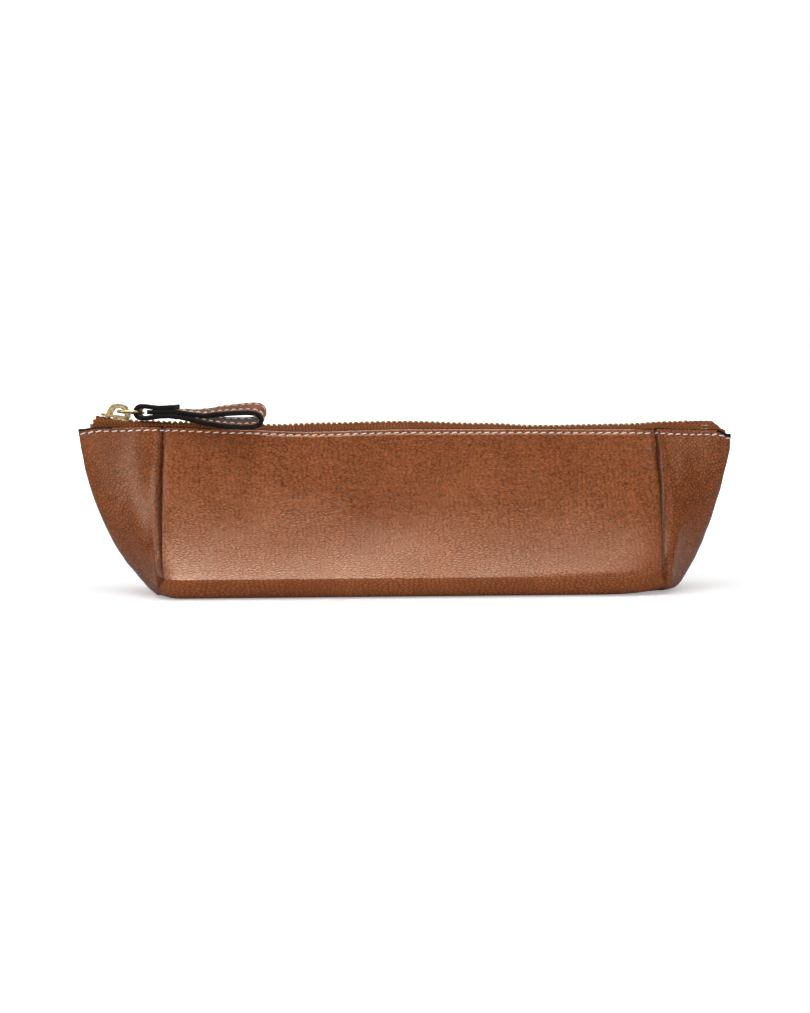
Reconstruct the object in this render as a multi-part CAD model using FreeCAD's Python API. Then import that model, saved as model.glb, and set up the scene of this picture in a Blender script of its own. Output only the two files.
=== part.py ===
import FreeCAD, Part
import math
import os

os.makedirs("parts", exist_ok=True)

Vector = FreeCAD.Vector

# Sizes in mm. X runs along the zip, the front faces -Y, Z is up from the floor.
# Case
case_length = 240.0
panel_length = 182.0
base_depth = 56.0
wall_top_z = 60.0
corner_drop = 1.0
mouth_width = 14.0
foot_radius = 6.0
foot_lean = 30.0
end_foot_radius = 8.0
end_foot_slope = 55.0
leather = 1.4
seam_gap = 0.3

# Base board and lining
board_thickness = 1.5
board_margin = 2.0
layer_gap = 0.1
lining = 0.5
lining_top_share = 0.965
lining_foot_share = 0.5

# Fold of the end gussets
fold_softness_top_ratio = 0.25
fold_softness_foot_ratio = 1.0
fold_thickening_ratio = 2.2
foot_share = 0.2

# Zip chain
ridge_height = 2.8
zip_end_gap = 10.3
tape = 0.5
tape_flat_half = 4.25
tape_bead = 1.05
tape_skirt = 7.0
tape_taper = 4.0
tape_rest = 0.25
tape_clearance = 0.2
shoulder_lift = 1.0
taper_share = 0.52
lift_share = 0.7
droop_share = 0.84
tape_end_share = 0.95
tooth_pitch = 2.0
tooth_length = 0.86
tooth_height = 1.6
tooth_leg = 2.25
tooth_head = 0.55
tooth_slot = 0.95
tooth_chamfer = 0.3
fork_clearance = 0.1
stop_length = 1.8
end_stop_length = 2.4

# Slider
slider_end_gap = 13.5
slider_length = 9.6
slider_width = 7.0
slider_plate = 0.75
slider_flange = 0.8
slider_clearance = 0.2
slot_height = 1.1
post_radius = 0.7
post_offset = 2.7
slider_nose = 2.4
slider_round = 0.35

# Bridge on the slider
bridge_width = 2.6
bridge_height = 3.9
bridge_crown = 1.3
bridge_lean = 1.0
bridge_shoulder = 1.5
bridge_hole_left = 3.0
bridge_hole_right = 2.4
bridge_round = 0.5

# Link ring
ring_wire = 0.65
ring_length = 9.4
ring_half_width = 4.9
ring_corner = 1.6
ring_yaw = 20.0
ring_roll = 14.0
ring_pitch = 5.0
ring_bar_gap = 1.6
ring_bar_lift_ratio = 0.57

# Pull strap: one strip folded into an eye, a sewn neck and a loop
strap = 1.6
strap_width = 6.5
strap_yaw = 16.0
strap_roll = 10.0
strap_pitch = 2.6
eye_radius = 3.0
neck_from = 2.0
neck_to = 12.8
neck_top = 2.2
neck_bottom = -2.2
loop_from = 9.0
loop_to = 41.5
loop_end = 45.6
loop_top = 0.7
loop_bottom = -6.4
loop_hole_from = 17.0
loop_join_ratio = 0.2
strap_stitch_margin = 1.2

# Thread
stitch_pitch = 3.0
stitch_length = 2.0
stitch_width = 0.6
stitch_height = 0.35
stitch_drop = 2.2
stitch_lift = 0.05

half_case = case_length / 2
half_panel = panel_length / 2
half_depth = base_depth / 2
half_mouth = mouth_width / 2
base_half_y = half_depth - foot_radius
foot_turn = math.radians(90 + foot_lean)
end_turn = math.radians(end_foot_slope)
corner_top_z = wall_top_z - corner_drop
chain_z = wall_top_z + ridge_height
slider_centre_x = slider_end_gap - half_case


def wall_arc():
    """Centre, radius and angles of the concave front wall above its rolled foot (Y, Z)."""
    lean = math.radians(foot_lean)
    out = (-math.cos(lean), math.sin(lean))
    foot = (-base_half_y + foot_radius * out[0], foot_radius + foot_radius * out[1])
    chord = (-half_mouth - foot[0], wall_top_z - foot[1])
    radius = (chord[0] ** 2 + chord[1] ** 2) / (2 * (chord[0] * out[0] + chord[1] * out[1]))
    centre = (foot[0] + radius * out[0], foot[1] + radius * out[1])
    start = math.atan2(foot[1] - centre[1], foot[0] - centre[0])
    stop = math.atan2(wall_top_z - centre[1], -half_mouth - centre[0])
    return centre, radius, start, stop


def end_arc():
    """Centre, radius and angles of the convex end wall above its rolled foot (X, Z)."""
    out = (math.sin(end_turn), -math.cos(end_turn))
    foot = (half_panel + end_foot_radius * out[0], end_foot_radius + end_foot_radius * out[1])
    chord = (half_case - foot[0], corner_top_z - foot[1])
    radius = -(chord[0] ** 2 + chord[1] ** 2) / (2 * (chord[0] * out[0] + chord[1] * out[1]))
    centre = (foot[0] - radius * out[0], foot[1] - radius * out[1])
    start = math.atan2(foot[1] - centre[1], foot[0] - centre[0])
    stop = math.atan2(corner_top_z - centre[1], half_case - centre[0])
    return centre, radius, start, stop


WALL = wall_arc()
END = end_arc()


def wall_point(s, offset):
    """Point (Y, Z) of the front wall, s from 0 under the base to 1 at the top edge."""
    if s <= foot_share:
        turn = foot_turn * s / foot_share
        radius = foot_radius - offset
        return -base_half_y - radius * math.sin(turn), foot_radius - radius * math.cos(turn)
    centre, radius, start, stop = WALL
    angle = start + (stop - start) * (s - foot_share) / (1 - foot_share)
    reach = radius + offset
    return centre[0] + reach * math.cos(angle), centre[1] + reach * math.sin(angle)


def end_point(s, offset):
    """Point (X, Z) of the end fold, s from 0 under the base to 1 at the zip corner."""
    if s <= foot_share:
        turn = end_turn * s / foot_share
        radius = end_foot_radius - offset
        return half_panel + radius * math.sin(turn), end_foot_radius - radius * math.cos(turn)
    centre, radius, start, stop = END
    angle = start + (stop - start) * (s - foot_share) / (1 - foot_share)
    reach = radius - offset
    return centre[0] + reach * math.cos(angle), centre[1] + reach * math.sin(angle)


def fold_round(s):
    """How round the fold is at s: a sharp crease near 0, a flat end near 1."""
    return fold_softness_foot_ratio + (fold_softness_top_ratio - fold_softness_foot_ratio) * s


def fold_offset(s, offset):
    """Depth of an inner face at the fold, where a sharp fold is thicker along X."""
    side = -wall_point(s, 0)[0]
    reach = end_point(s, 0)[0] - half_panel
    slant = math.hypot(side, reach) / side
    return offset * min(slant, fold_thickening_ratio)


def gusset_point(s, across, offset):
    """Point of the right gusset, across from -1 at the front seam to 1 at the back seam."""
    side_y, side_z = wall_point(s, offset)
    fold_x, fold_z = end_point(s, fold_offset(s, offset))
    soft = fold_round(s)
    share = 1 - (math.hypot(across, soft) - soft) / (math.hypot(1, soft) - soft)
    return Vector(
        half_panel + (fold_x - half_panel) * share,
        -side_y * across,
        side_z + (fold_z - side_z) * share,
    )


def gusset_y(x, s, offset):
    """Half-opening of the gusset at station x."""
    fold_x = end_point(s, fold_offset(s, offset))[0]
    share = min(1.0, max(0.0, (x - half_panel) / (fold_x - half_panel)))
    soft = fold_round(s)
    across = math.sqrt((soft + (1 - share) * (math.hypot(1, soft) - soft)) ** 2 - soft ** 2)
    return -wall_point(s, offset)[0] * across


def spread(low, high, count):
    return [low + (high - low) * i / (count - 1) for i in range(count)]


def save(shape, name):
    shape.exportStep("parts/" + name + ".step")


def mirror_y(shape):
    return shape.mirror(Vector(0, 0, 0), Vector(0, 1, 0))


def mirror_x(shape):
    return shape.mirror(Vector(0, 0, 0), Vector(1, 0, 0))


def box(x0, x1, y0, y1, z0, z1):
    return Part.makeBox(x1 - x0, y1 - y0, z1 - z0, Vector(x0, y0, z0))


def prism(points, along):
    """Solid from a closed outline of vectors, pushed along a vector."""
    wire = Part.makePolygon(points + [points[0]])
    return Part.Face(wire).extrude(along)


# Wall panels: a band between two offsets of the wall, run along X
def wall_edge(s_from, s_to, offset, x):
    def at(s):
        y, z = wall_point(s, offset)
        return Vector(x, y, z)

    edges = []
    if s_from < foot_share:
        middle = (s_from + foot_share) / 2
        edges.append(Part.Arc(at(s_from), at(middle), at(foot_share)).toShape())
    low = max(s_from, foot_share)
    edges.append(Part.Arc(at(low), at((low + s_to) / 2), at(s_to)).toShape())
    return edges, at(s_from), at(s_to)


def wall_band(outer, inner, s_from, s_to):
    x = -half_panel + seam_gap
    out_edges, out_low, out_high = wall_edge(s_from, s_to, outer, x)
    in_edges, in_low, in_high = wall_edge(s_from, s_to, inner, x)
    ends = [Part.makeLine(out_high, in_high), Part.makeLine(in_low, out_low)]
    wire = Part.Wire(Part.__sortEdges__(out_edges + in_edges + ends))
    return Part.Face(wire).extrude(Vector(panel_length - 2 * seam_gap, 0, 0))


lining_outer = leather + tape + 2 * tape_clearance
lining_inner = lining_outer + lining
lining_from = lining_foot_share * foot_share

front_panel = wall_band(0, leather, 0, 1)
front_lining = wall_band(lining_outer, lining_inner, lining_from, lining_top_share)
save(front_panel, "front_panel")
save(mirror_y(front_panel), "back_panel")
save(front_lining, "front_lining")
save(mirror_y(front_lining), "back_lining")


# Gussets: a band lofted round the fold from the front seam to the back seam
def gusset_band(outer, inner, s_from, s_to):
    rows = spread(s_from, foot_share, 5)[:-1] + spread(foot_share, s_to, 7)
    sections = []
    for across in spread(-1, 1, 9):
        out_points = [gusset_point(s, across, outer) for s in rows]
        in_points = [gusset_point(s, across, inner) for s in reversed(rows)]
        out_curve = Part.BSplineCurve()
        out_curve.interpolate(out_points)
        in_curve = Part.BSplineCurve()
        in_curve.interpolate(in_points)
        edges = [
            out_curve.toShape(),
            Part.makeLine(out_points[-1], in_points[0]),
            in_curve.toShape(),
            Part.makeLine(in_points[-1], out_points[0]),
        ]
        sections.append(Part.Wire(edges))
    return Part.makeLoft(sections, True, False)


right_gusset = gusset_band(0, leather, 0, 1)
right_lining = gusset_band(lining_outer, lining_inner, lining_from, lining_top_share)
save(right_gusset, "right_gusset")
save(mirror_x(right_gusset), "left_gusset")
save(right_lining, "right_lining")
save(mirror_x(right_lining), "left_lining")

# Base: leather, board and lining stacked from the floor up
panel_y = base_half_y - seam_gap
panel_x = half_panel - layer_gap
save(box(-panel_x, panel_x, -panel_y, panel_y, 0, leather), "base_panel")
board_x = half_panel - board_margin
board_y = base_half_y - seam_gap
board_low = leather + layer_gap
board_high = board_low + board_thickness
save(box(-board_x, board_x, -board_y, board_y, board_low, board_high), "base_board")
base_lining_x = half_panel - seam_gap
lining_foot_y = (foot_radius - lining_inner) * math.sin(foot_turn * lining_foot_share)
base_lining_y = base_half_y + lining_foot_y - seam_gap
base_lining_low = board_high + layer_gap
base_lining = box(
    -base_lining_x, base_lining_x, -base_lining_y, base_lining_y, base_lining_low, base_lining_low + lining
)
save(base_lining, "base_lining")

# Zip tapes: flat beside the teeth, down the ridge, then a skirt between leather and lining
tape_top = chain_z + tape / 2
skirt_offset = leather + tape_clearance
wall_length = WALL[1] * abs(WALL[3] - WALL[2])
bow = half_case - half_panel
taper_x = half_panel + taper_share * bow
lift_x = half_panel + lift_share * bow
droop_x = half_panel + droop_share * bow
tape_end_x = half_panel + tape_end_share * bow


def below_edge(drop):
    """Share s of the wall that lies a length drop below its top edge."""
    return 1 - (1 - foot_share) * drop / wall_length


def gusset_station(x, s, offset):
    """Point (Y, Z) on the front half of a gusset layer at station x."""
    layer = fold_offset(s, offset)
    fold_x, fold_z = end_point(s, layer)
    side_z = wall_point(s, offset)[1]
    share = min(1.0, (x - half_panel) / (fold_x - half_panel))
    return -gusset_y(x, s, offset), side_z + (fold_z - side_z) * share


def edge_z(x):
    """Height of the leather's top edge at station x of a gusset."""
    return wall_top_z + (corner_top_z - wall_top_z) * (x - half_panel) / bow


def tape_line(x):
    """Upper face of the front tape at station x, from the bead down to the skirt's edge."""
    bead = (-tape_bead, tape_top)
    flat = (-tape_flat_half, tape_top)
    top = wall_point(1, skirt_offset)
    ridge = ((flat[0] + top[0]) / 2, (flat[1] + top[1]) / 2)
    if x <= half_panel:
        return [bead, flat, ridge, top, wall_point(below_edge(tape_skirt), skirt_offset)]
    shoulder = (-tape_flat_half - tape / 4, edge_z(x) + shoulder_lift)
    if x <= taper_x:
        share = (x - half_panel) / (taper_x - half_panel)
        drop = tape_skirt + (tape_taper - tape_skirt) * share
        slope = (
            ridge[0] + (shoulder[0] - ridge[0]) * share,
            ridge[1] + (shoulder[1] - ridge[1]) * share,
        )
        neck = gusset_station(x, 1, skirt_offset)
        return [bead, flat, slope, neck, gusset_station(x, below_edge(drop), skirt_offset)]
    if x <= lift_x:
        neck_y = gusset_station(taper_x, 1, skirt_offset)[0]
        rest = edge_z(x) + tape_rest
        return [bead, flat, shoulder, (neck_y, rest + tape), (neck_y, rest)]
    if x <= droop_x:
        rest = edge_z(x) + tape_rest
        middle = (tape_top + rest) / 2
        side = flat[0] / 2
        return [bead, (-tooth_leg, tape_top), (-tooth_leg, middle), (side, rest + tape), (side, rest)]
    rest = edge_z(x) + tape_rest
    close = tape + tape_clearance
    return [
        (-tape_clearance, rest + 4 * tape),
        (-close, rest + 4 * tape),
        (-close - tape_clearance, rest + 3 * tape),
        (-close - tape_clearance, rest + 2 * tape),
        (-close - tape_clearance, rest),
    ]


def inset_line(points, depth):
    """The same open line moved to its inner side by depth, with mitred corners."""
    moved = []
    for i, point in enumerate(points):
        before = points[max(i - 1, 0)]
        after = points[min(i + 1, len(points) - 1)]
        normals = []
        for a, b in ((before, point), (point, after)):
            length = math.hypot(b[0] - a[0], b[1] - a[1])
            if length > 0:
                normals.append((-(b[1] - a[1]) / length, (b[0] - a[0]) / length))
        n_y = sum(n[0] for n in normals) / len(normals)
        n_z = sum(n[1] for n in normals) / len(normals)
        grow = depth / (n_y ** 2 + n_z ** 2)
        moved.append((point[0] + n_y * grow, point[1] + n_z * grow))
    return moved


def tape_section(x):
    upper = tape_line(abs(x))
    lower = inset_line(upper, tape)
    outline = [Vector(x, y, z) for y, z in upper + lower[::-1]]
    return Part.makePolygon(outline + [outline[0]])


stations = spread(half_panel, taper_x, 10) + [taper_x + tape, lift_x, droop_x, tape_end_x]
stations = [-x for x in reversed(stations)] + stations
front_tape = Part.makeLoft([tape_section(x) for x in stations], True, True)
save(front_tape, "front_zip_tape")
save(mirror_y(front_tape), "back_zip_tape")


# Zip teeth: forks clamped on the bead of each tape, heads meshed past the centre line
def fork(head, length, x):
    half_slot = tape / 2 + fork_clearance
    half = tooth_height / 2
    outline = [
        (-tooth_leg, -half),
        (head - tooth_chamfer, -half),
        (head, -half + tooth_chamfer),
        (head, half - tooth_chamfer),
        (head - tooth_chamfer, half),
        (-tooth_leg, half),
        (-tooth_leg, half_slot),
        (-tooth_slot, half_slot),
        (-tooth_slot, -half_slot),
        (-tooth_leg, -half_slot),
    ]
    points = [Vector(x - length / 2, y, chain_z + z) for y, z in outline]
    return prism(points, Vector(length, 0, 0))


slider_left = slider_centre_x - slider_length / 2
post_x = slider_left + post_offset
first_tooth = post_x + post_radius + tooth_length
stop_x = slider_left - slider_clearance - stop_length / 2
end_stop_x = half_case - zip_end_gap
slider_travel = end_stop_x - end_stop_length / 2 - slider_clearance - slider_length / 2 - slider_centre_x
last_tooth = end_stop_x - end_stop_length / 2 - tooth_pitch
tooth_count = int((last_tooth - first_tooth) / tooth_pitch)

front_teeth = []
back_teeth = []
for i in range(tooth_count):
    tooth_x = first_tooth + tooth_pitch * i
    front_teeth.append(fork(tooth_head, tooth_length, tooth_x))
    back_teeth.append(mirror_y(fork(tooth_head, tooth_length, tooth_x + tooth_pitch / 2)))
save(Part.makeCompound(front_teeth), "front_zip_teeth")
save(Part.makeCompound(back_teeth), "back_zip_teeth")

front_stop = fork(-fork_clearance * 2, stop_length, stop_x)
save(front_stop, "front_top_stop")
save(mirror_y(front_stop), "back_top_stop")
half_end_stop = fork(0, end_stop_length, end_stop_x)
end_stop_core = box(
    end_stop_x - end_stop_length / 2,
    end_stop_x + end_stop_length / 2,
    -tooth_chamfer,
    tooth_chamfer,
    chain_z - tooth_height / 2,
    chain_z + tooth_height / 2,
)
bottom_stop = half_end_stop.fuse(mirror_y(half_end_stop)).fuse(end_stop_core).removeSplitter()
save(bottom_stop, "bottom_stop")

# Slider body: two plates with flanges, joined by the post that parts the teeth
cavity_half_z = tooth_height / 2 + slider_clearance
body_low = chain_z - cavity_half_z - slider_plate
body_high = chain_z + cavity_half_z + slider_plate
slider_right = slider_left + slider_length
half_width = slider_width / 2
nose_half = half_width - slider_flange
outline = [
    (slider_left, -nose_half),
    (slider_left + slider_nose, -half_width),
    (slider_right - slider_nose / 2, -half_width),
    (slider_right, -nose_half),
]
outline = outline + [(x, -y) for x, y in reversed(outline)]
body = prism([Vector(x, y, body_low) for x, y in outline], Vector(0, 0, body_high - body_low))
top_edges = [e for e in body.Edges if e.BoundBox.ZMin > chain_z]
body = body.makeFillet(slider_round, top_edges)
past = slider_length
cavity = box(
    slider_left - past,
    slider_right + past,
    -half_width + slider_flange,
    half_width - slider_flange,
    chain_z - cavity_half_z,
    chain_z + cavity_half_z,
)
tape_slot = box(
    slider_left - past,
    slider_right + past,
    -slider_width,
    slider_width,
    chain_z - slot_height / 2,
    chain_z + slot_height / 2,
)
post_low = Vector(post_x, 0, body_low + slider_plate / 2)
post = Part.makeCylinder(post_radius, body_high - body_low - slider_plate, post_low)
slider_body = body.cut(cavity).cut(tape_slot).fuse(post).removeSplitter()
save(slider_body, "slider_body")

# Bridge: an arch along the slider with an eye for the link
bridge_top_z = body_high + bridge_height
hole_height = bridge_height - bridge_crown
hole_left_x = slider_left + bridge_hole_left
hole_right_x = slider_right - bridge_hole_right
arch = [
    (slider_left, body_high),
    (slider_right, body_high),
    (slider_right - bridge_lean / 2, bridge_top_z - bridge_shoulder),
    (slider_right - bridge_lean * 2, bridge_top_z),
    (slider_left + bridge_lean + bridge_shoulder, bridge_top_z),
    (slider_left + bridge_lean, bridge_top_z - bridge_lean),
]
bridge = prism(
    [Vector(x, -bridge_width / 2, z) for x, z in arch], Vector(0, bridge_width, 0)
)
upper_edges = [e for e in bridge.Edges if e.BoundBox.ZMin > body_high + bridge_height / 4]
bridge = bridge.makeFillet(bridge_round, upper_edges)
hole = box(
    hole_left_x,
    hole_right_x,
    -bridge_width,
    bridge_width,
    body_high - slider_plate,
    body_high + hole_height,
)
hole_edges = [e for e in hole.Edges if e.BoundBox.ZMin > body_high and e.BoundBox.YLength > bridge_width]
hole = hole.makeFillet(bridge_lean, hole_edges)
save(bridge.cut(hole), "slider_bridge")


# Link ring and strap are drawn flat, then tipped towards the front
def tipped(shape, origin, yaw, roll, pitch):
    turned = shape.copy()
    turned.rotate(Vector(0, 0, 0), Vector(0, 1, 0), -pitch)
    turned.rotate(Vector(0, 0, 0), Vector(1, 0, 0), roll)
    turned.rotate(Vector(0, 0, 0), Vector(0, 0, 1), -yaw)
    turned.translate(origin)
    return turned


def tipped_point(point, origin, yaw, roll, pitch):
    marker = tipped(Part.Vertex(point), origin, yaw, roll, pitch)
    return marker.Point


ring_straight = ring_half_width - ring_corner
ring_reach = ring_length - ring_corner
corner_turn = ring_corner * (1 - math.sqrt(0.5))
side = [
    Part.makeLine(Vector(ring_corner, -ring_half_width, 0), Vector(ring_reach, -ring_half_width, 0)),
    Part.Arc(
        Vector(ring_reach, -ring_half_width, 0),
        Vector(ring_length - corner_turn, -ring_half_width + corner_turn, 0),
        Vector(ring_length, -ring_straight, 0),
    ).toShape(),
    Part.makeLine(Vector(ring_length, -ring_straight, 0), Vector(ring_length, ring_straight, 0)),
    Part.Arc(
        Vector(ring_length, ring_straight, 0),
        Vector(ring_length - corner_turn, ring_half_width - corner_turn, 0),
        Vector(ring_reach, ring_half_width, 0),
    ).toShape(),
    Part.makeLine(Vector(ring_reach, ring_half_width, 0), Vector(ring_corner, ring_half_width, 0)),
    Part.Arc(
        Vector(ring_corner, ring_half_width, 0),
        Vector(corner_turn, ring_half_width - corner_turn, 0),
        Vector(0, ring_straight, 0),
    ).toShape(),
    Part.makeLine(Vector(0, ring_straight, 0), Vector(0, -ring_straight, 0)),
    Part.Arc(
        Vector(0, -ring_straight, 0),
        Vector(corner_turn, -ring_half_width + corner_turn, 0),
        Vector(ring_corner, -ring_half_width, 0),
    ).toShape(),
]
ring_path = Part.Wire(side)
start_circle = Part.makeCircle(ring_wire, Vector(ring_corner, -ring_half_width, 0), Vector(1, 0, 0))
ring_flat = ring_path.makePipeShell([Part.Wire(start_circle)], True, False)
ring_origin = Vector(hole_right_x - ring_bar_gap, 0, body_high + ring_bar_lift_ratio * hole_height)
save(tipped(ring_flat, ring_origin, ring_yaw, ring_roll, ring_pitch), "pull_ring")

eye_origin = tipped_point(Vector(ring_length, 0, 0), ring_origin, ring_yaw, ring_roll, ring_pitch)
half_strap = strap_width / 2


def strap_prism(points):
    across = Vector(0, strap_width, 0)
    return prism([Vector(x, -half_strap, z) for x, z in points], across)


def strap_cylinder(radius, margin):
    start = Vector(0, -half_strap - margin, 0)
    return Part.makeCylinder(radius, strap_width + 2 * margin, start, Vector(0, 1, 0))


def loop_prism(inset, start, join):
    """The loop's outline moved in by inset, from a point at start round the far end."""
    top = loop_top - inset
    bottom = loop_bottom + inset
    middle = (loop_top + loop_bottom) / 2
    low_start = Vector(start, -half_strap, middle + join * (bottom - middle))
    high_start = Vector(start, -half_strap, top)
    high_end = Vector(loop_to, -half_strap, top)
    far = Vector(loop_end - inset, -half_strap, middle)
    low_end = Vector(loop_to, -half_strap, bottom)
    edges = [
        Part.makeLine(high_start, high_end),
        Part.Arc(high_end, far, low_end).toShape(),
        Part.makeLine(low_end, low_start),
        Part.makeLine(low_start, high_start),
    ]
    return Part.Face(Part.Wire(edges)).extrude(Vector(0, strap_width, 0))


neck = strap_prism(
    [(neck_from, neck_bottom), (neck_to, neck_bottom), (neck_to, neck_top), (neck_from, neck_top)]
)
strap_flat = strap_cylinder(eye_radius, 0).fuse(neck).fuse(loop_prism(0, loop_from, -loop_join_ratio))
strap_flat = strap_flat.cut(loop_prism(strap, loop_hole_from, 0))
strap_flat = strap_flat.cut(strap_cylinder(eye_radius - strap, strap)).removeSplitter()
save(tipped(strap_flat, eye_origin, strap_yaw, strap_roll, strap_pitch), "pull_strap")

# Thread
strap_stitches = []
run = loop_to - neck_to - strap
stitch_number = int(run / stitch_pitch)
for row in (-1, 1):
    row_y = row * (half_strap - strap_stitch_margin)
    for i in range(stitch_number):
        stitch_x = neck_to + strap + stitch_pitch * i
        stitch = box(
            stitch_x,
            stitch_x + stitch_length,
            row_y - stitch_width / 2,
            row_y + stitch_width / 2,
            loop_top + stitch_lift,
            loop_top + stitch_lift + stitch_height,
        )
        strap_stitches.append(tipped(stitch, eye_origin, strap_yaw, strap_roll, strap_pitch))
save(Part.makeCompound(strap_stitches), "pull_strap_stitching")

stitch_share = below_edge(stitch_drop)
stitch_y, stitch_z = wall_point(stitch_share, -stitch_lift)
top_y, top_z = wall_point(1, -stitch_lift)
stitch_lean = math.degrees(math.atan2(top_y - stitch_y, top_z - stitch_z))


def stitch_at(middle, heading, lean):
    """A stitch lying on the leather with its back at middle, heading along X turned by heading."""
    stitch = box(-stitch_length / 2, stitch_length / 2, -stitch_height, 0, -stitch_width / 2, stitch_width / 2)
    stitch.rotate(Vector(0, 0, 0), Vector(1, 0, 0), -lean)
    stitch.rotate(Vector(0, 0, 0), Vector(0, 0, 1), heading)
    stitch.translate(middle)
    return stitch


front_stitches = []
panel_stitches = int((panel_length - 2 * seam_gap) / stitch_pitch)
for i in range(panel_stitches):
    stitch_x = (i - (panel_stitches - 1) / 2) * stitch_pitch
    front_stitches.append(stitch_at(Vector(stitch_x, stitch_y, stitch_z), 0, stitch_lean))
save(Part.makeCompound(front_stitches), "front_top_stitching")
save(Part.makeCompound([mirror_y(s) for s in front_stitches]), "back_top_stitching")

gusset_stitches = []
stitch_x = half_panel + stitch_pitch / 2
while stitch_x < half_case - 2 * stitch_pitch:
    here_y = -gusset_y(stitch_x, stitch_share, -stitch_lift * 2)
    ahead_y = -gusset_y(stitch_x + stitch_length / 2, stitch_share, -stitch_lift * 2)
    behind_y = -gusset_y(stitch_x - stitch_length / 2, stitch_share, -stitch_lift * 2)
    heading = math.degrees(math.atan2(ahead_y - behind_y, stitch_length))
    middle = Vector(stitch_x, here_y - stitch_lift, stitch_z + edge_z(stitch_x) - wall_top_z)
    gusset_stitches.append(stitch_at(middle, heading, stitch_lean))
    stitch_x += stitch_pitch
right_stitches = gusset_stitches + [mirror_y(s) for s in gusset_stitches]
save(Part.makeCompound(right_stitches), "right_gusset_stitching")
save(Part.makeCompound([mirror_x(s) for s in right_stitches]), "left_gusset_stitching")

print("eye of the strap at", eye_origin, "teeth per side", tooth_count)
print("link bar at", ring_origin, "slider travel", slider_travel)
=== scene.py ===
import math
import random

import bmesh
import bpy
from mathutils import Euler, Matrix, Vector, noise


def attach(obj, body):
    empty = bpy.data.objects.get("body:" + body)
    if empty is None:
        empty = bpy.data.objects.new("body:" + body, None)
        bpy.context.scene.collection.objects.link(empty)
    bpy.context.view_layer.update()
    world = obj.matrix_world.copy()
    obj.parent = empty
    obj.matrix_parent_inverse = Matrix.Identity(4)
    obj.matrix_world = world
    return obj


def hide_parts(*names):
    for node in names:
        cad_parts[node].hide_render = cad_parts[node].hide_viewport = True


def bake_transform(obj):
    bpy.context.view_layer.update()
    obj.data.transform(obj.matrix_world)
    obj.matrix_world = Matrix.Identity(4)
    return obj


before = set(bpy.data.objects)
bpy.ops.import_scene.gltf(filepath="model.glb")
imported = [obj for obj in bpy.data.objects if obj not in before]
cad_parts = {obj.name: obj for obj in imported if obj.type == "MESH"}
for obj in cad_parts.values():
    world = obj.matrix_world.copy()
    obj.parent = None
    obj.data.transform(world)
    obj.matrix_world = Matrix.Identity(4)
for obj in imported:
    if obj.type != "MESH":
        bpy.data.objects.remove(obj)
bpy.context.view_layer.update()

# Sizes in mm, as in the solids; meshes are written in metres
MM = 0.001
HALF_CASE = 120.0
HALF_PANEL = 91.0
BASE_HALF_Y = 22.0
FOOT_RADIUS = 6.0
FOOT_LEAN = math.radians(30)
FOOT_TURN = math.radians(120)
FOOT_SHARE = 0.2
END_FOOT_RADIUS = 8.0
END_TURN = math.radians(55)
WALL_TOP = 60.0
CORNER_TOP = 59.0
HALF_MOUTH = 7.0
FOLD_SOFT_TOP = 0.25
FOLD_SOFT_FOOT = 1.0
LEATHER = 1.4
LINING = 0.5
LINING_DEPTH = 2.3
LINING_TOP = 0.965
LINING_FOOT = 1.03
CHAIN_Z = 62.8
TAPE = 0.5

# Looks of the leather: sharp fold above the foot, seams, soft bulges and waves
TINY = 1e-9
CREASE_REACH = 6.25
CREASE_Z = 7.2
CREASE_SHARE = 0.8
CREASE_FADE = 1.5
ROLL_DEPTH = 1.8
BULGE = 0.28
BULGE_LENGTH = 38
BULGE_ROWS = 2.3
BULGE_SEEDS = {True: 3.0, False: 11.0}
BULGE_FROM = (0.05, 0.35)
SEWN_DEPTH = 0.26
SEWN_REACH = 0.45
EDGE_DEPTH = 0.45
EDGE_REACH = 0.45
SEAM_HEIGHTS = (1.5, 6.0)
VALLEY_DEPTH = 1.9
VALLEY_REACH = 3.6
VALLEY_CALM = 12.0
RIDGE_CALM = 10.0
PUFF_HEIGHT = 0.9
PUFF_PLACE = 6.0
PUFF_WIDTH = 4.5
PUFF_FROM = (4, 20)
WAVE_FROM = 0.72
CORNER_FROM = {-1: 83.0, 1: 62.0}
CORNER_POWER = {-1: 2.2, 1: 3.5}
CORNER_INSET = 0.12
CORNER_LIFT = 2.2
CORNER_HEIGHTS = (3.0, 15.0)
PANEL_STEP = 0.002
GUSSET_STEP = 0.004
SKIVED = 0.12
SKIVED_ROWS = 0.12
SKIVED_SEAM = 0.05
# Painted shade in the seams' grooves: how much darker, and its reach in mm
PAINTED_SEAM_SHADE = 0.6
PAINTED_SEAM_SHADE_REACH = 1.05


def mix(a, b, share):
    return a + (b - a) * share


def smooth(low, high, value):
    t = min(1.0, max(0.0, (value - low) / (high - low)))
    return t * t * (3 - 2 * t)


def bell(value, width):
    return math.exp(-((value / width) ** 2))


def wave(knots, x):
    """Smooth curve through (x, height) knots, level beyond its ends."""
    if x <= knots[0][0]:
        return knots[0][1]
    for (x0, h0), (x1, h1) in zip(knots, knots[1:]):
        if x <= x1:
            return mix(h0, h1, smooth(x0, x1, x))
    return knots[-1][1]


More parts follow.
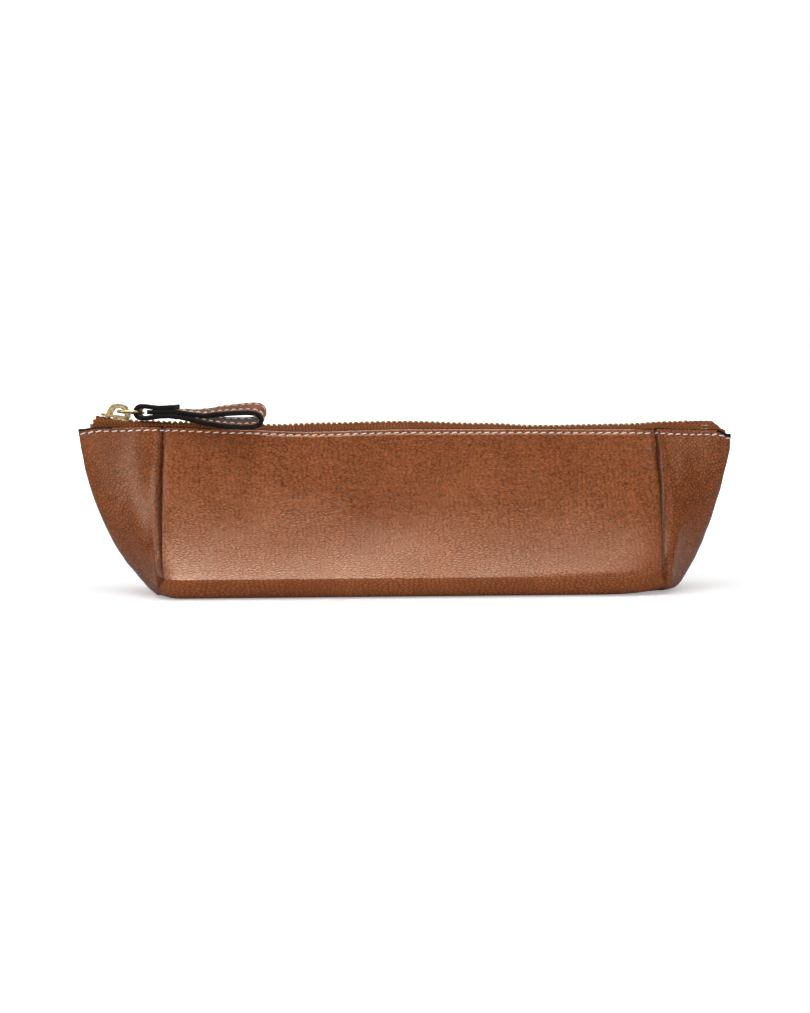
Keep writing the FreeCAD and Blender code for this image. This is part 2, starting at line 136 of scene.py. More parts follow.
# How the soft case lies: heights in mm along X that the leather's edge and the zip rise or sag
EDGE_WAVE = [
    (-120, 0.6), (-113, 1.4), (-106, 1.25), (-90, 1.05), (-64, 0.0), (-38, -0.9), (-2, -0.2), (40, -0.3),
    (75, -0.5), (100, -0.6), (114, -0.4), (120, -2.4),
]
END_SWELL = {
    -1: [
        (0, -1.0), (3.4, -1.1), (6.3, -0.5), (12, 0.55), (18, 1.0), (32, 1.0), (44, 0.8), (50, 0.45),
        (58, 0.2),
    ],
    1: [(0, 4.4), (10, 4.2), (16, 3.7), (22, 3.0), (34, 2.0), (46, 1.2), (52, 0.9), (58, 0.2)],
}
CREASE_SOFTENS = [(20, 1.0), (90, 0.35)]
CHAIN_WAVE = [
    (-114, 1.3), (-107, 0.3), (-98, -0.6), (-84, -1.1), (-72, -1.4), (-49, -2.3), (-31, -1.8), (-2, -1.3),
    (27, -2.2), (49, -3.1), (80, -2.7), (97, -1.9), (109, -1.5),
]
SEAM_LEAN = {
    -1: [(0, 1.0), (7, 0.9), (27, 0.1), (42, -0.5), (60, -1.5)],
    1: [(0, 1.1), (35, 1.3), (50, 0.5), (60, -0.4)],
}
STITCH_DROPS = [(-120, 1.4), (0, 1.5), (88, 1.6), (96, 2.0), (112, 1.9), (120, 1.3)]
RIDGE_PLACE = {-1: [(0, 1.9), (55, 1.0)], 1: [(0, 3.2), (20, 2.8), (55, 1.1)]}
RIDGE_HEIGHT = {-1: 0.3, 1: 0.75}


def arc(foot, tip, out):
    """Circle through foot and tip, square to out at the foot: centre, radius, start and stop angle."""
    chord = (tip[0] - foot[0], tip[1] - foot[1])
    reach = (chord[0] ** 2 + chord[1] ** 2) / (2 * (chord[0] * out[0] + chord[1] * out[1]))
    centre = (foot[0] + reach * out[0], foot[1] + reach * out[1])
    start = math.atan2(foot[1] - centre[1], foot[0] - centre[0])
    stop = math.atan2(tip[1] - centre[1], tip[0] - centre[0])
    return centre, abs(reach), start, stop


WALL_OUT = (-math.cos(FOOT_LEAN), math.sin(FOOT_LEAN))
WALL_FOOT = (-BASE_HALF_Y + FOOT_RADIUS * WALL_OUT[0], FOOT_RADIUS + FOOT_RADIUS * WALL_OUT[1])
WALL = arc(WALL_FOOT, (-HALF_MOUTH, WALL_TOP), WALL_OUT)
WALL_LENGTH = WALL[1] * abs(WALL[3] - WALL[2])
END_OUT = (math.sin(END_TURN), -math.cos(END_TURN))
END_FOOT = (HALF_PANEL + END_FOOT_RADIUS * END_OUT[0], END_FOOT_RADIUS + END_FOOT_RADIUS * END_OUT[1])
END = arc(END_FOOT, (HALF_CASE, CORNER_TOP), END_OUT)


def above_foot(shape, s):
    """Place on an arc, for s from the foot's share to 1 at the top."""
    centre, radius, start, stop = shape
    angle = mix(start, stop, (s - FOOT_SHARE) / (1 - FOOT_SHARE))
    return centre[0] + radius * math.cos(angle), centre[1] + radius * math.sin(angle)


def wall_curve(s, crease):
    """Outer face (Y, Z) of the front wall, s from 0 under the base to 1 at the top edge."""
    if s > FOOT_SHARE:
        return above_foot(WALL, s)
    t = s / FOOT_SHARE
    turn = FOOT_TURN * t
    rolled = (-BASE_HALF_Y - FOOT_RADIUS * math.sin(turn), FOOT_RADIUS * (1 - math.cos(turn)))
    if t < CREASE_SHARE:
        turn = math.pi / 2 * t / CREASE_SHARE
        creased = (-BASE_HALF_Y - CREASE_REACH * math.sin(turn), CREASE_Z * (1 - math.cos(turn)))
    else:
        up = (t - CREASE_SHARE) / (1 - CREASE_SHARE)
        creased = (mix(-BASE_HALF_Y - CREASE_REACH, WALL_FOOT[0], up), mix(CREASE_Z, WALL_FOOT[1], up))
    return mix(rolled[0], creased[0], crease), mix(rolled[1], creased[1], crease)


def end_curve(s):
    """Fold (X, Z) of the right end."""
    if s > FOOT_SHARE:
        return above_foot(END, s)
    turn = END_TURN * s / FOOT_SHARE
    return HALF_PANEL + END_FOOT_RADIUS * math.sin(turn), END_FOOT_RADIUS * (1 - math.cos(turn))


def fold_share(s, across):
    """How far out to the fold a place on a gusset lies, 0 at the seam and 1 at the fold."""
    soft = mix(FOLD_SOFT_FOOT, FOLD_SOFT_TOP, s)
    return 1 - (math.hypot(across, soft) - soft) / (math.hypot(1, soft) - soft)


def edge_drop(s):
    """Length in mm from a place on the wall up to its top edge."""
    return (1 - s) / (1 - FOOT_SHARE) * WALL_LENGTH


def edge_share(drop):
    return 1 - (1 - FOOT_SHARE) * drop / WALL_LENGTH


def soft_relief(x, s, front):
    """Bulges and the sewn line below the edge, in mm outward."""
    drop = edge_drop(s)
    place = Vector((x / BULGE_LENGTH, s * BULGE_ROWS, BULGE_SEEDS[front]))
    bulge = BULGE * noise.noise(place) * smooth(*BULGE_FROM, s)
    sewn = -SEWN_DEPTH * bell(drop - wave(STITCH_DROPS, x), SEWN_REACH)
    return bulge + (sewn - EDGE_DEPTH * math.exp(-drop / EDGE_REACH))


def seam_fade(z):
    """The seam shows from the top down to the base corner, where the leather runs on."""
    return smooth(*SEAM_HEIGHTS, z)


def settle(x, y, z, s, share):
    """Lets a place on the leather lie as in the photo: waves, tapered seams and rounded base corners."""
    lift = wave(EDGE_WAVE, x) * smooth(WAVE_FROM, 1.0, s)
    end = -1 if x < 0 else 1
    reach = (1 - share) * min(1.0, abs(x) / HALF_PANEL) ** 3
    lean = end * wave(SEAM_LEAN[end], z) * reach
    out = max(0.0, (min(abs(x), HALF_PANEL) - CORNER_FROM[end]) / (HALF_PANEL - CORNER_FROM[end]))
    corner = out ** CORNER_POWER[end] * (1 - share) ** 2 * (1 - smooth(*CORNER_HEIGHTS, z))
    return Vector((x + lean, y * (1 - CORNER_INSET * corner), z + lift + CORNER_LIFT * corner))


def panel_point(x, s, front):
    """Outer face of the front or back panel at signed x, with the front facing -Y."""
    y, z = wall_curve(s, wave(CREASE_SOFTENS, x))
    y0, z0 = wall_curve(max(0.0, s - PANEL_STEP), 0)
    y1, z1 = wall_curve(min(1.0, s + PANEL_STEP), 0)
    length = math.hypot(y1 - y0, z1 - z0)
    out = (-(z1 - z0) / length, (y1 - y0) / length)
    edge = HALF_PANEL - abs(x)
    relief = soft_relief(x, s, front) * smooth(0.0, VALLEY_CALM, edge)
    relief -= VALLEY_DEPTH * math.exp(-edge / VALLEY_REACH) * seam_fade(z)
    return mirror_back(settle(x, y + out[0] * relief, z + out[1] * relief, s, 0.0), front)


def mirror_back(point, front):
    return point if front else Vector((point.x, -point.y, point.z))


def gusset_base(side, s, across, folded):
    crease = folded * abs(across) ** CREASE_FADE * wave(CREASE_SOFTENS, side * HALF_PANEL)
    side_y, side_z = wall_curve(s, crease)
    fold_x, fold_z = end_curve(s)
    fold_x += wave(END_SWELL[side], fold_z) * smooth(0.0, FOOT_SHARE / 2, s)
    share = fold_share(s, across)
    return Vector((mix(HALF_PANEL, fold_x, share), -side_y * across, mix(side_z, fold_z, share))), share


def gusset_point(side, s, across):
    """Outer face of an end gusset, across from -1 at the front seam to 1 at the back seam."""
    place, share = gusset_base(side, s, across, 1)
    right = gusset_base(side, s, min(1.0, across + GUSSET_STEP), 0)[0]
    left = gusset_base(side, s, max(-1.0, across - GUSSET_STEP), 0)[0]
    above = gusset_base(side, min(1.0, s + GUSSET_STEP), across, 0)[0]
    below = gusset_base(side, max(0.0, s - GUSSET_STEP), across, 0)[0]
    out = (right - left).cross(above - below)
    out = out.normalized() if out.length > TINY else Vector((0, 0, -1))
    half_width = math.hypot(wall_curve(s, 0)[0], end_curve(s)[0] - HALF_PANEL)
    edge = (1 - abs(across)) * half_width
    ridge = wave(RIDGE_PLACE[side], place.z)
    height = RIDGE_HEIGHT[side]
    if edge < ridge:
        roll = (ROLL_DEPTH + height) * math.sqrt(1 - (1 - edge / ridge) ** 2) - ROLL_DEPTH
    else:
        roll = height * bell(edge - ridge, ridge)
    puff = PUFF_HEIGHT * bell(edge - PUFF_PLACE, PUFF_WIDTH) * smooth(*PUFF_FROM, place.z)
    relief = roll * seam_fade(place.z)
    relief += puff * (1 - share ** 3)
    relief += soft_relief(side * place.x, s, across < 0) * smooth(0.0, RIDGE_CALM, edge) * (1 - share ** 4)
    place = place + out * relief
    return settle(place.x * side, place.y, place.z, s, share)


# Meshes
def new_object(name, mesh, materials):
    piece = bpy.data.objects.new(name, mesh)
    for look in materials:
        mesh.materials.append(look)
    bpy.context.scene.collection.objects.link(piece)
    return piece


def smooth_faces(mesh, angle):
    for polygon in mesh.polygons:
        polygon.use_smooth = True
    mesh.set_sharp_from_angle(angle=math.radians(angle))


def grid_normals(grid):
    last_i = len(grid) - 1
    last_j = len(grid[0]) - 1
    normals = []
    for i in range(last_i + 1):
        line = []
        for j in range(last_j + 1):
            du = grid[min(i + 1, last_i)][j] - grid[max(i - 1, 0)][j]
            dv = grid[i][min(j + 1, last_j)] - grid[i][max(j - 1, 0)]
            normal = du.cross(dv)
            line.append(normal.normalized() if normal.length > TINY else Vector((0, 0, 0)))
        normals.append(line)
    return normals


def running_lengths(grid):
    """Lengths along the columns and rows of a grid, for texture places in mm."""
    along = [[0.0] * len(grid[0]) for _ in grid]
    up = [[0.0] * len(grid[0]) for _ in grid]
    for i in range(len(grid)):
        for j in range(len(grid[0])):
            if i > 0:
                along[i][j] = along[i - 1][j] + (grid[i][j] - grid[i - 1][j]).length
            if j > 0:
                up[i][j] = up[i][j - 1] + (grid[i][j] - grid[i][j - 1]).length
    return along, up


def keep_side(point, side_y, gap):
    """Keeps an inner face of a fold on its own side of the middle plane."""
    if side_y < 0:
        point.y = min(point.y, -gap)
    elif side_y > 0:
        point.y = max(point.y, gap)
    return point


def mark_shade(mesh, shades):
    """Carries each point's share of unshaded leather for the materials: 1 away from the seams, less where
    shade is painted into them.
    """
    layer = mesh.color_attributes.new("shade", "FLOAT_COLOR", "POINT")
    for entry, share in zip(layer.data, shades):
        entry.color = (share, share, share, 1.0)


def seam_shade(edge, z):
    """Share of unshaded leather at a length in mm from a seam, less near it where shade is painted into the
    groove.
    """
    return 1 - PAINTED_SEAM_SHADE * bell(edge, PAINTED_SEAM_SHADE_REACH) * seam_fade(z)


# Faces of a sheet, by the place of their material in its list
GRAIN_SIDE = 0
INNER_SIDE = 1
PAINTED_EDGE = 2
ROUND_STEPS = 4
SHEET_ANGLE = 50


def textured(mesh, kinds, places, last_kind, angle):
    """Gives faces their material and texture places, and smooths them."""
    layer = mesh.uv_layers.new(name="UVMap")
    for polygon, kind in zip(mesh.polygons, kinds):
        polygon.material_index = min(kind, last_kind)
        for corner in polygon.loop_indices:
            layer.data[corner].uv = places[mesh.loops[corner].vertex_index]
    smooth_faces(mesh, angle)


def shell(name, grid, inset, thickness, flip, materials, start=0.0, round_top=0.0, gap=None, from_end=False,
          painted=None, seam=None, skive=None):
    """A sheet of leather or cloth: an outer grid, an inner grid and rims all round.

    painted is (reach, rows): beyond |X| = reach so many top rows of the outer face take edge paint, else one
    row, which is edge paint and also painted shade where the zip tape meets the leather.
    seam gives a point's length from the seam, and skive the share of its thickness that is kept."""
    last_i = len(grid) - 1
    last_j = len(grid[0]) - 1
    normals = grid_normals(grid)
    along, up = running_lengths(grid)
    sign = -1.0 if flip else 1.0
    points = []
    places = []
    shades = []
    index = {}

    def add(key, point, i, j):
        index[key] = len(points)
        shades.append(1.0 if seam is None else seam_shade(seam(i, j), grid[i][j].z))
        points.append(point * MM)
        origin = along[last_i][j] if from_end else 0.0
        places.append(((start + along[i][j] - origin) * MM, up[i][j] * MM))

    for i in range(last_i + 1):
        for j in range(last_j + 1):
            inward = normals[i][j] * -sign
            outer = grid[i][j] + inward * inset
            left = 1.0 if skive is None else mix(SKIVED, 1.0, skive(i, j))
            inner = grid[i][j] + inward * (inset + thickness * left)
            if gap is not None:
                outer = keep_side(outer, grid[i][j].y, gap)
                inner = keep_side(inner, grid[i][j].y, gap / 2)
            add((0, i, j), outer, i, j)
            add((1, i, j), inner, i, j)
    faces = []
    kinds = []

    def quad(kind, *keys):
        corners = [index[key] for key in keys]
        faces.append(corners[::-1] if flip else corners)
        kinds.append(kind)

    for i in range(last_i):
        for j in range(last_j):
            # Top rows take edge paint; the single row along the middle also stands for painted shade where
            # the tape meets the leather
            rows = 0 if painted is None else painted[1] if abs(grid[i][j].x) > painted[0] else 1
            kind = PAINTED_EDGE if j >= last_j - rows else GRAIN_SIDE
            quad(kind, (0, i, j), (0, i + 1, j), (0, i + 1, j + 1), (0, i, j + 1))
            quad(INNER_SIDE, (1, i, j), (1, i, j + 1), (1, i + 1, j + 1), (1, i + 1, j))
    for j in range(last_j):
        quad(GRAIN_SIDE, (0, 0, j + 1), (1, 0, j + 1), (1, 0, j), (0, 0, j))
        quad(GRAIN_SIDE, (0, last_i, j), (1, last_i, j), (1, last_i, j + 1), (0, last_i, j + 1))
    for i in range(last_i):
        quad(GRAIN_SIDE, (0, i, 0), (1, i, 0), (1, i + 1, 0), (0, i + 1, 0))
    steps = ROUND_STEPS if round_top else 1
    for i in range(last_i + 1):
        rise = (grid[i][last_j] - grid[i][last_j - 1]).normalized()
        first = index[0, i, last_j]
        last = index[1, i, last_j]
        index["top", i, 0] = first
        index["top", i, steps] = last
        for k in range(1, steps):
            index["top", i, k] = len(points)
            lift = rise * (round_top * MM * math.sin(math.pi * k / steps))
            points.append(points[first].lerp(points[last], k / steps) + lift)
            places.append(places[first])
            shades.append(shades[first])
    for i in range(last_i):
        for k in range(steps):
            quad(PAINTED_EDGE, ("top", i + 1, k), ("top", i + 1, k + 1), ("top", i, k + 1), ("top", i, k))
    mesh = bpy.data.meshes.new(name)
    mesh.from_pydata(points, [], faces)
    textured(mesh, kinds, places, len(materials) - 1, SHEET_ANGLE)
    mark_shade(mesh, shades)
    return new_object(name, mesh, materials)


def spread(low, high, count):
    return [mix(low, high, i / (count - 1)) for i in range(count)]


# Rows up the wall, close together at the fold above the foot and at the sewn line
ROW_MARKS = [
    *spread(0.0, 0.14, 9), *spread(0.148, 0.172, 7), *spread(0.182, 0.215, 4),
    *spread(0.23, 0.93, 40), *spread(0.937, 0.9925, 11), 0.9962, 1.0,
]
# Columns from the middle to a seam, and over half a gusset, close together at the seams
PANEL_MARKS = spread(0, 86, 50) + spread(86.8, HALF_PANEL, 13)
GUSSET_MARKS = [
    1.0, 0.9985, 0.996, 0.992, 0.987, 0.981, 0.974, 0.966, 0.957,
    *spread(0.945, 0.84, 10), *spread(0.82, 0.16, 22), *spread(0.13, 0.01, 8),
]
GUSSET_COLUMNS = [-a for a in GUSSET_MARKS] + [0.0] + GUSSET_MARKS[::-1]


def wall_rows(low, high):
    return [low] + [mark for mark in ROW_MARKS if low < mark < high] + [high]


def panel_columns(low, high):
    signed = sorted(set([-mark for mark in PANEL_MARKS] + PANEL_MARKS))
    return [x for x in signed if low <= x <= high]


# Shader helpers
def material(name):
    made = bpy.data.materials.new(name)
    made.use_nodes = True
    tree = made.node_tree
    return made, tree, tree.nodes["Principled BSDF"]


def feed(tree, socket, value):
    """Links a socket to another node's output, or sets its plain value."""
    if isinstance(value, bpy.types.NodeSocket):
        tree.links.new(value, socket)
    else:
        socket.default_value = value


def node(tree, kind, inputs=None, **settings):
    made = tree.nodes.new(kind)
    for key, value in settings.items():
        setattr(made, key, value)
    for key, value in (inputs or {}).items():
        feed(tree, made.inputs[key], value)
    return made


def grey(level):
    return (level, level, level, 1.0)


def ramp(tree, value, stops, blend="LINEAR"):
    """Ramp through (place, RGB colour or grey level) stops."""
    made = node(tree, "ShaderNodeValToRGB", {"Fac": value})
    made.color_ramp.interpolation = blend
    elements = made.color_ramp.elements
    while len(elements) < len(stops):
        elements.new(0.5)
    for element, (place, colour) in zip(elements, stops):
        element.position = place
        element.color = grey(colour) if isinstance(colour, float) else (*colour, 1.0)
    return made.outputs["Color"]


def blend_colour(tree, share, a, b, kind="MIX"):
    return node(tree, "ShaderNodeMix", {0: share, 6: a, 7: b}, data_type="RGBA", blend_type=kind).outputs[2]


def maths(tree, kind, a, b=0.0):
    return node(tree, "ShaderNodeMath", {0: a, 1: b}, operation=kind).outputs[0]


def weighed(tree, a, a_share, b, b_share):
    return maths(tree, "ADD", maths(tree, "MULTIPLY", a, a_share), maths(tree, "MULTIPLY", b, b_share))


def vectors(tree, kind, a, b=(0.0, 0.0, 0.0), out="Vector"):
    return node(tree, "ShaderNodeVectorMath", {0: a, 1: b}, operation=kind).outputs[out]


def speckle(tree, place, scale, detail, rough=0.5, twist=0.0, out="Fac"):
    inputs = {"Vector": place, "Scale": scale, "Detail": detail, "Roughness": rough, "Distortion": twist}
    return node(tree, "ShaderNodeTexNoise", inputs).outputs[out]


def coordinates(tree, space="UV"):
    return node(tree, "ShaderNodeTexCoord").outputs[space]


def mapped(tree, place, scale=(1.0, 1.0, 1.0), turn=0.0):
    inputs = {"Vector": place, "Scale": scale, "Rotation": (0.0, 0.0, turn)}
    return node(tree, "ShaderNodeMapping", inputs).outputs["Vector"]


def surface(tree, shader, inputs, height, strength, depth):
    """Feeds the shader and presses a height of so many metres into it."""
    bump = node(tree, "ShaderNodeBump", {"Height": height, "Strength": strength, "Distance": depth})
    for key, value in {**inputs, "Normal": bump.outputs["Normal"]}.items():
        feed(tree, shader.inputs[key], value)


# Leather: scales per metre, or per pitch of the grain
WARM_GLOSS = (1.0, 0.84, 0.66, 1.0)
HIDE_DRIFTS = ((30.0, 0.012), (360.0, 0.0009))
WRINKLES = 1.1
PEBBLES = 1.25
PEBBLE_CHANCE = 0.9
SWELL_SCALE = 520.0
SWELL_HEIGHT = 0.2
CLOUD_SCALE = 30.0
VEIN_SCALE = (260.0, 24.0, 1.0)
FOOT_CALM = 0.25
FOOT_LEVEL = 0.8
GRAIN_DEPTH = 0.00003


def leather_material(name, tones, pitch, rough, draw, turn, foot, pebbly):
    """Semi-gloss leather: drawn wrinkles that turn to small pebbles at the foot, clouds and a few veins."""
    made, tree, shader = material(name)
    place = coordinates(tree)
    bent = place
    for scale, reach in HIDE_DRIFTS:
        drift = speckle(tree, place, scale, 1.0, out="Color")
        bent = vectors(tree, "ADD", bent, vectors(tree, "MULTIPLY", drift, (reach,) * 3))
    drawn = mapped(tree, mapped(tree, bent, turn=turn), (draw, 1.0, 1.0))
    cells = {}
    for feature, out in (("DISTANCE_TO_EDGE", "Distance"), ("F1", "Color")):
        inputs = {"Vector": drawn, "Scale": PEBBLES / pitch, "Randomness": PEBBLE_CHANCE}
        found = node(tree, "ShaderNodeTexVoronoi", inputs, voronoi_dimensions="2D", feature=feature)
        cells[out] = found.outputs[out]
    wrinkles = speckle(tree, drawn, WRINKLES / pitch, 1.5)
    swell = speckle(tree, drawn, SWELL_SCALE, 2.0)
    clouds = speckle(tree, place, CLOUD_SCALE, 4.0, 0.55)
    veins = speckle(tree, mapped(tree, place, VEIN_SCALE), 1.0, 3.0, twist=0.8)
    rise = node(tree, "ShaderNodeSeparateXYZ", {"Vector": place}).outputs["Y"]
    span = {"Value": rise, "From Min": foot[0], "From Max": foot[1]}
    upper = node(tree, "ShaderNodeMapRange", span).outputs["Result"]
    fold = ramp(tree, wrinkles, [(0.34, 0.0), (0.5, 0.62), (0.64, 1.0)])
    dimple = ramp(tree, cells["Distance"], [(0.0, 0.0), (0.3, 1.0)], "EASE")
    lower = blend_colour(tree, FOOT_CALM, dimple, grey(FOOT_LEVEL))
    grain = blend_colour(tree, upper, lower, blend_colour(tree, pebbly, fold, dimple))
    streak = ramp(tree, veins, [(0.36, 0.88), (0.5, 1.0), (0.66, 1.04)])
    each = ramp(tree, cells["Color"], [(0.1, 0.84), (0.9, 1.12)])
    tone = ramp(tree, clouds, [(0.3, tones[2]), (0.5, tones[1]), (0.72, tones[0])])
    for share, shade in (
        (ramp(tree, clouds, [(0.46, 0.0), (0.6, 0.8)]), streak),
        # Grain tone: grooves darker and crests lighter, partly the leather's own colour and partly painted
        # shade and highlight
        (1.0, ramp(tree, grain, [(0.08, 0.32), (0.5, 0.82), (0.95, 1.23)])),
        (maths(tree, "MULTIPLY", upper, pebbly), each),
        # Painted shade in the seams' grooves, from the shade attribute
        (1.0, node(tree, "ShaderNodeAttribute", attribute_name="shade").outputs["Color"]),
    ):
        tone = blend_colour(tree, share, tone, shade, "MULTIPLY")
    polish = ramp(tree, swell, [(0.3, rough + 0.06), (0.7, rough - 0.04)])
    inputs = {"Base Color": tone, "Roughness": polish, "Specular IOR Level": 0.5, "Specular Tint": WARM_GLOSS}
    height = maths(tree, "ADD", grain, maths(tree, "MULTIPLY", swell, SWELL_HEIGHT))
    surface(tree, shader, inputs, height, 1.0, GRAIN_DEPTH)
    return made


def suede_material(name, light, dark):
    """The flesh side of leather: matt, with fine loose fibres."""
    made, tree, shader = material(name)
    place = coordinates(tree)
    fibres = speckle(tree, place, 2600.0, 6.0, 0.7)
    clouds = speckle(tree, place, 180.0, 4.0)
    tone = ramp(tree, weighed(tree, fibres, 0.6, clouds, 0.4), [(0.32, dark), (0.68, light)])
    inputs = {"Base Color": tone, "Roughness": 0.92, "Specular IOR Level": 0.2, "Sheen Weight": 0.25}
    surface(tree, shader, inputs, fibres, 0.6, 0.00015)
    return made


def paint_material(name, light, dark):
    """Edge paint: dark, a little uneven, rubbed in places."""
    made, tree, shader = material(name)
    rubs = speckle(tree, coordinates(tree), 900.0, 5.0, 0.65)
    tone = ramp(tree, rubs, [(0.4, dark), (0.75, light)])
    gloss = ramp(tree, rubs, [(0.3, 0.5), (0.7, 0.7)])
    look = {"Base Color": tone, "Roughness": gloss, "Specular IOR Level": 0.1}
    surface(tree, shader, look, rubs, 0.4, 0.0001)
    return made


def woven_material(name, light, dark, count, relief, turn):
    """Plain weave with count threads to the metre, over and under by turns, turned on the cloth."""
    made, tree, shader = material(name)
    place = mapped(tree, coordinates(tree), (count, count, 1.0), turn)
    parts = node(tree, "ShaderNodeSeparateXYZ", {"Vector": place})
    turns = [maths(tree, "SINE", maths(tree, "MULTIPLY", parts.outputs[axis], math.pi)) for axis in "XY"]
    warp, weft = [maths(tree, "ABSOLUTE", part) for part in turns]
    checker = maths(tree, "MULTIPLY", *turns)
    over = ramp(tree, maths(tree, "ADD", maths(tree, "MULTIPLY", checker, 0.5), 0.5),
                [(0.4, 0.0), (0.6, 1.0)])
    fuzz = speckle(tree, place, 1.3, 4.0)
    level = weighed(tree, blend_colour(tree, over, warp, weft), 0.7, fuzz, 0.45)
    shade = ramp(tree, speckle(tree, place, 0.04, 3.0), [(0.3, 0.85), (0.7, 1.08)])
    tone = blend_colour(tree, 1.0, ramp(tree, level, [(0.25, dark), (0.95, light)]), shade, "MULTIPLY")
    inputs = {"Base Color": tone, "Roughness": 0.85, "Specular IOR Level": 0.15}
    surface(tree, shader, inputs, level, 0.7, relief)
    return made


def metal_material(name, light, dark, rough):
    """Antique brass: polished faces, dull stains and fine scratches."""
    made, tree, shader = material(name)
    place = coordinates(tree, "Object")
    stains = speckle(tree, place, 900.0, 5.0)
    tone = ramp(tree, stains, [(0.34, dark), (0.6, light)])
    dull = ramp(tree, stains, [(0.35, rough + 0.18), (0.65, rough)])
    scratches = speckle(tree, place, 4200.0, 3.0)
    surface(tree, shader, {"Base Color": tone, "Roughness": dull, "Metallic": 1.0}, scratches, 0.25, 0.00005)
    return made


def thread_material(name, light, dark):
    """Waxed thread: slanted strands, darker between them."""
    made, tree, shader = material(name)
    place = coordinates(tree, "Object")
    inputs = {"Vector": place, "Scale": 900.0, "Distortion": 1.5}
    strands = node(tree, "ShaderNodeTexWave", inputs, bands_direction="DIAGONAL").outputs["Fac"]
    level = weighed(tree, strands, 0.35, speckle(tree, place, 260.0, 4.0), 0.65)
    tone = ramp(tree, level, [(0.25, dark), (0.55, light)])
    surface(tree, shader, {"Base Color": tone, "Roughness": 0.6, "Sheen Weight": 0.1}, strands, 0.5, 0.0001)
    return made


def board_material(name, light, dark):
    """Pulpboard: pressed grey-brown fibre."""
    made, tree, shader = material(name)
    fibre = speckle(tree, coordinates(tree, "Object"), 700.0, 6.0)
    tone = ramp(tree, fibre, [(0.35, dark), (0.65, light)])
    surface(tree, shader, {"Base Color": tone, "Roughness": 0.9}, fibre, 0.4, 0.0001)
    return made


CASE_TONES = ((0.218, 0.062, 0.019), (0.186, 0.050, 0.014), (0.156, 0.039, 0.010))
STRAP_TONES = ((0.215, 0.080, 0.036), (0.180, 0.062, 0.027), (0.140, 0.046, 0.019))
PANEL_LEATHER = leather_material(
    "case_leather_panel", CASE_TONES, pitch=0.00092, rough=0.27, draw=0.44, turn=0.0, foot=(0.018, 0.036),
    pebbly=0.62,
)
GUSSET_LEATHER = leather_material(
    "case_leather_gusset", CASE_TONES, pitch=0.00132, rough=0.28, draw=0.72, turn=math.radians(-38),
    foot=(-0.03, 0.02), pebbly=0.75,
)
STRAP_LEATHER = leather_material(
    "strap_leather", STRAP_TONES, pitch=0.0009, rough=0.45, draw=0.8, turn=0.0, foot=(-1.0, -0.9), pebbly=0.5,
)
FLESH = suede_material("leather_flesh_side", (0.20, 0.115, 0.065), (0.13, 0.07, 0.04))
SUEDE = suede_material("strap_suede", (0.085, 0.060, 0.048), (0.040, 0.028, 0.023))
PAINT = paint_material("edge_paint", (0.009, 0.007, 0.006), (0.003, 0.002, 0.002))
COTTON = woven_material(
    "lining_cotton", (0.36, 0.28, 0.20), (0.20, 0.15, 0.10), count=2600.0, relief=0.00008, turn=0.0,
)
TAPE_WEAVE = woven_material(
    "zip_tape_weave", (0.235, 0.074, 0.025), (0.022, 0.006, 0.003), count=1100.0, relief=0.0002,
    turn=math.radians(40),
)
BRASS = metal_material("antique_brass", (0.86, 0.66, 0.35), (0.34, 0.24, 0.10), rough=0.24)
THREAD = thread_material("waxed_thread", (0.72, 0.69, 0.66), (0.34, 0.30, 0.27))
BOARD = board_material("pulpboard", (0.50, 0.41, 0.31), (0.34, 0.26, 0.18))

# Sides, ends and halves of the walls, and how the pieces ride on the bodies
SIDES = (("front", True), ("back", False))
ENDS = (("left", -1), ("right", 1))
HALVES = {-1: (-HALF_PANEL, 0), 1: (0, HALF_PANEL)}


def on_wall(piece, side, end, slot, *nodes):
    """Bakes a half of a wall's place into its mesh and hides the solids it stands in for."""
    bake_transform(piece)
    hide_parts(*nodes)


def on_body(piece, body, slot, *nodes):
    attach(piece, body)
    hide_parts(*nodes)


def flat_size(grid):
    """Length and width in metres of the cloth that a grid is cut from."""
    along, up = running_lengths(grid)
    return max(along[-1]) * MM, max(line[-1] for line in up) * MM


def skived(s, inside):
    """Share of its thickness that leather keeps near the foot seam and an end seam, where it is pared."""
    return smooth(0.0, SKIVED_ROWS, s) * smooth(0.0, SKIVED_SEAM, inside)


# Painted reach and rows by end, and where each piece is cut from the hide, in mm
PAINTED_ENDS = {-1: (107.0, 2), 1: (113.5, 3)}
GUSSET_HALF = 32.0
ROUND_TOP = 0.3
GUSSET_GAP = 0.05
LINING_GAP = 0.4
PANEL_HIDE = {True: 400.0, False: 800.0}
GUSSET_HIDE = {-1: 600.0, 1: 1200.0}
BASE_HIDE = 1500.0
STRAP_HIDE = 2000
LEATHER_ROWS = wall_rows(0.0, 1.0)
LINING_ROWS = wall_rows(FOOT_SHARE * LINING_FOOT, LINING_TOP)

# Panels and their linings, each wall in two halves that meet in the middle
for side, front in SIDES:
    for end, sign in ENDS:
        columns = panel_columns(*HALVES[sign])
        grid = [[panel_point(x, s, front) for s in LEATHER_ROWS] for x in columns]
        panel = shell(side + "_panel_" + end, grid, 0.0, LEATHER, not front, (PANEL_LEATHER, FLESH, PAINT),
                      PANEL_HIDE[front], ROUND_TOP, from_end=sign < 0, painted=PAINTED_ENDS[sign],
                      seam=lambda i, j: HALF_PANEL - abs(columns[i]),
                      skive=lambda i, j: skived(LEATHER_ROWS[j], 1 - abs(columns[i]) / HALF_PANEL))
        on_wall(panel, side, sign, "case_leather", side + "_panel")
        grid = [[panel_point(x, s, front) for s in LINING_ROWS] for x in columns[::2] + columns[-1:]]
        lining = shell(side + "_lining_" + end, grid, LINING_DEPTH, LINING, not front, (COTTON,))
        on_wall(lining, side, sign, "lining", side + "_lining")
        flat_size(grid)

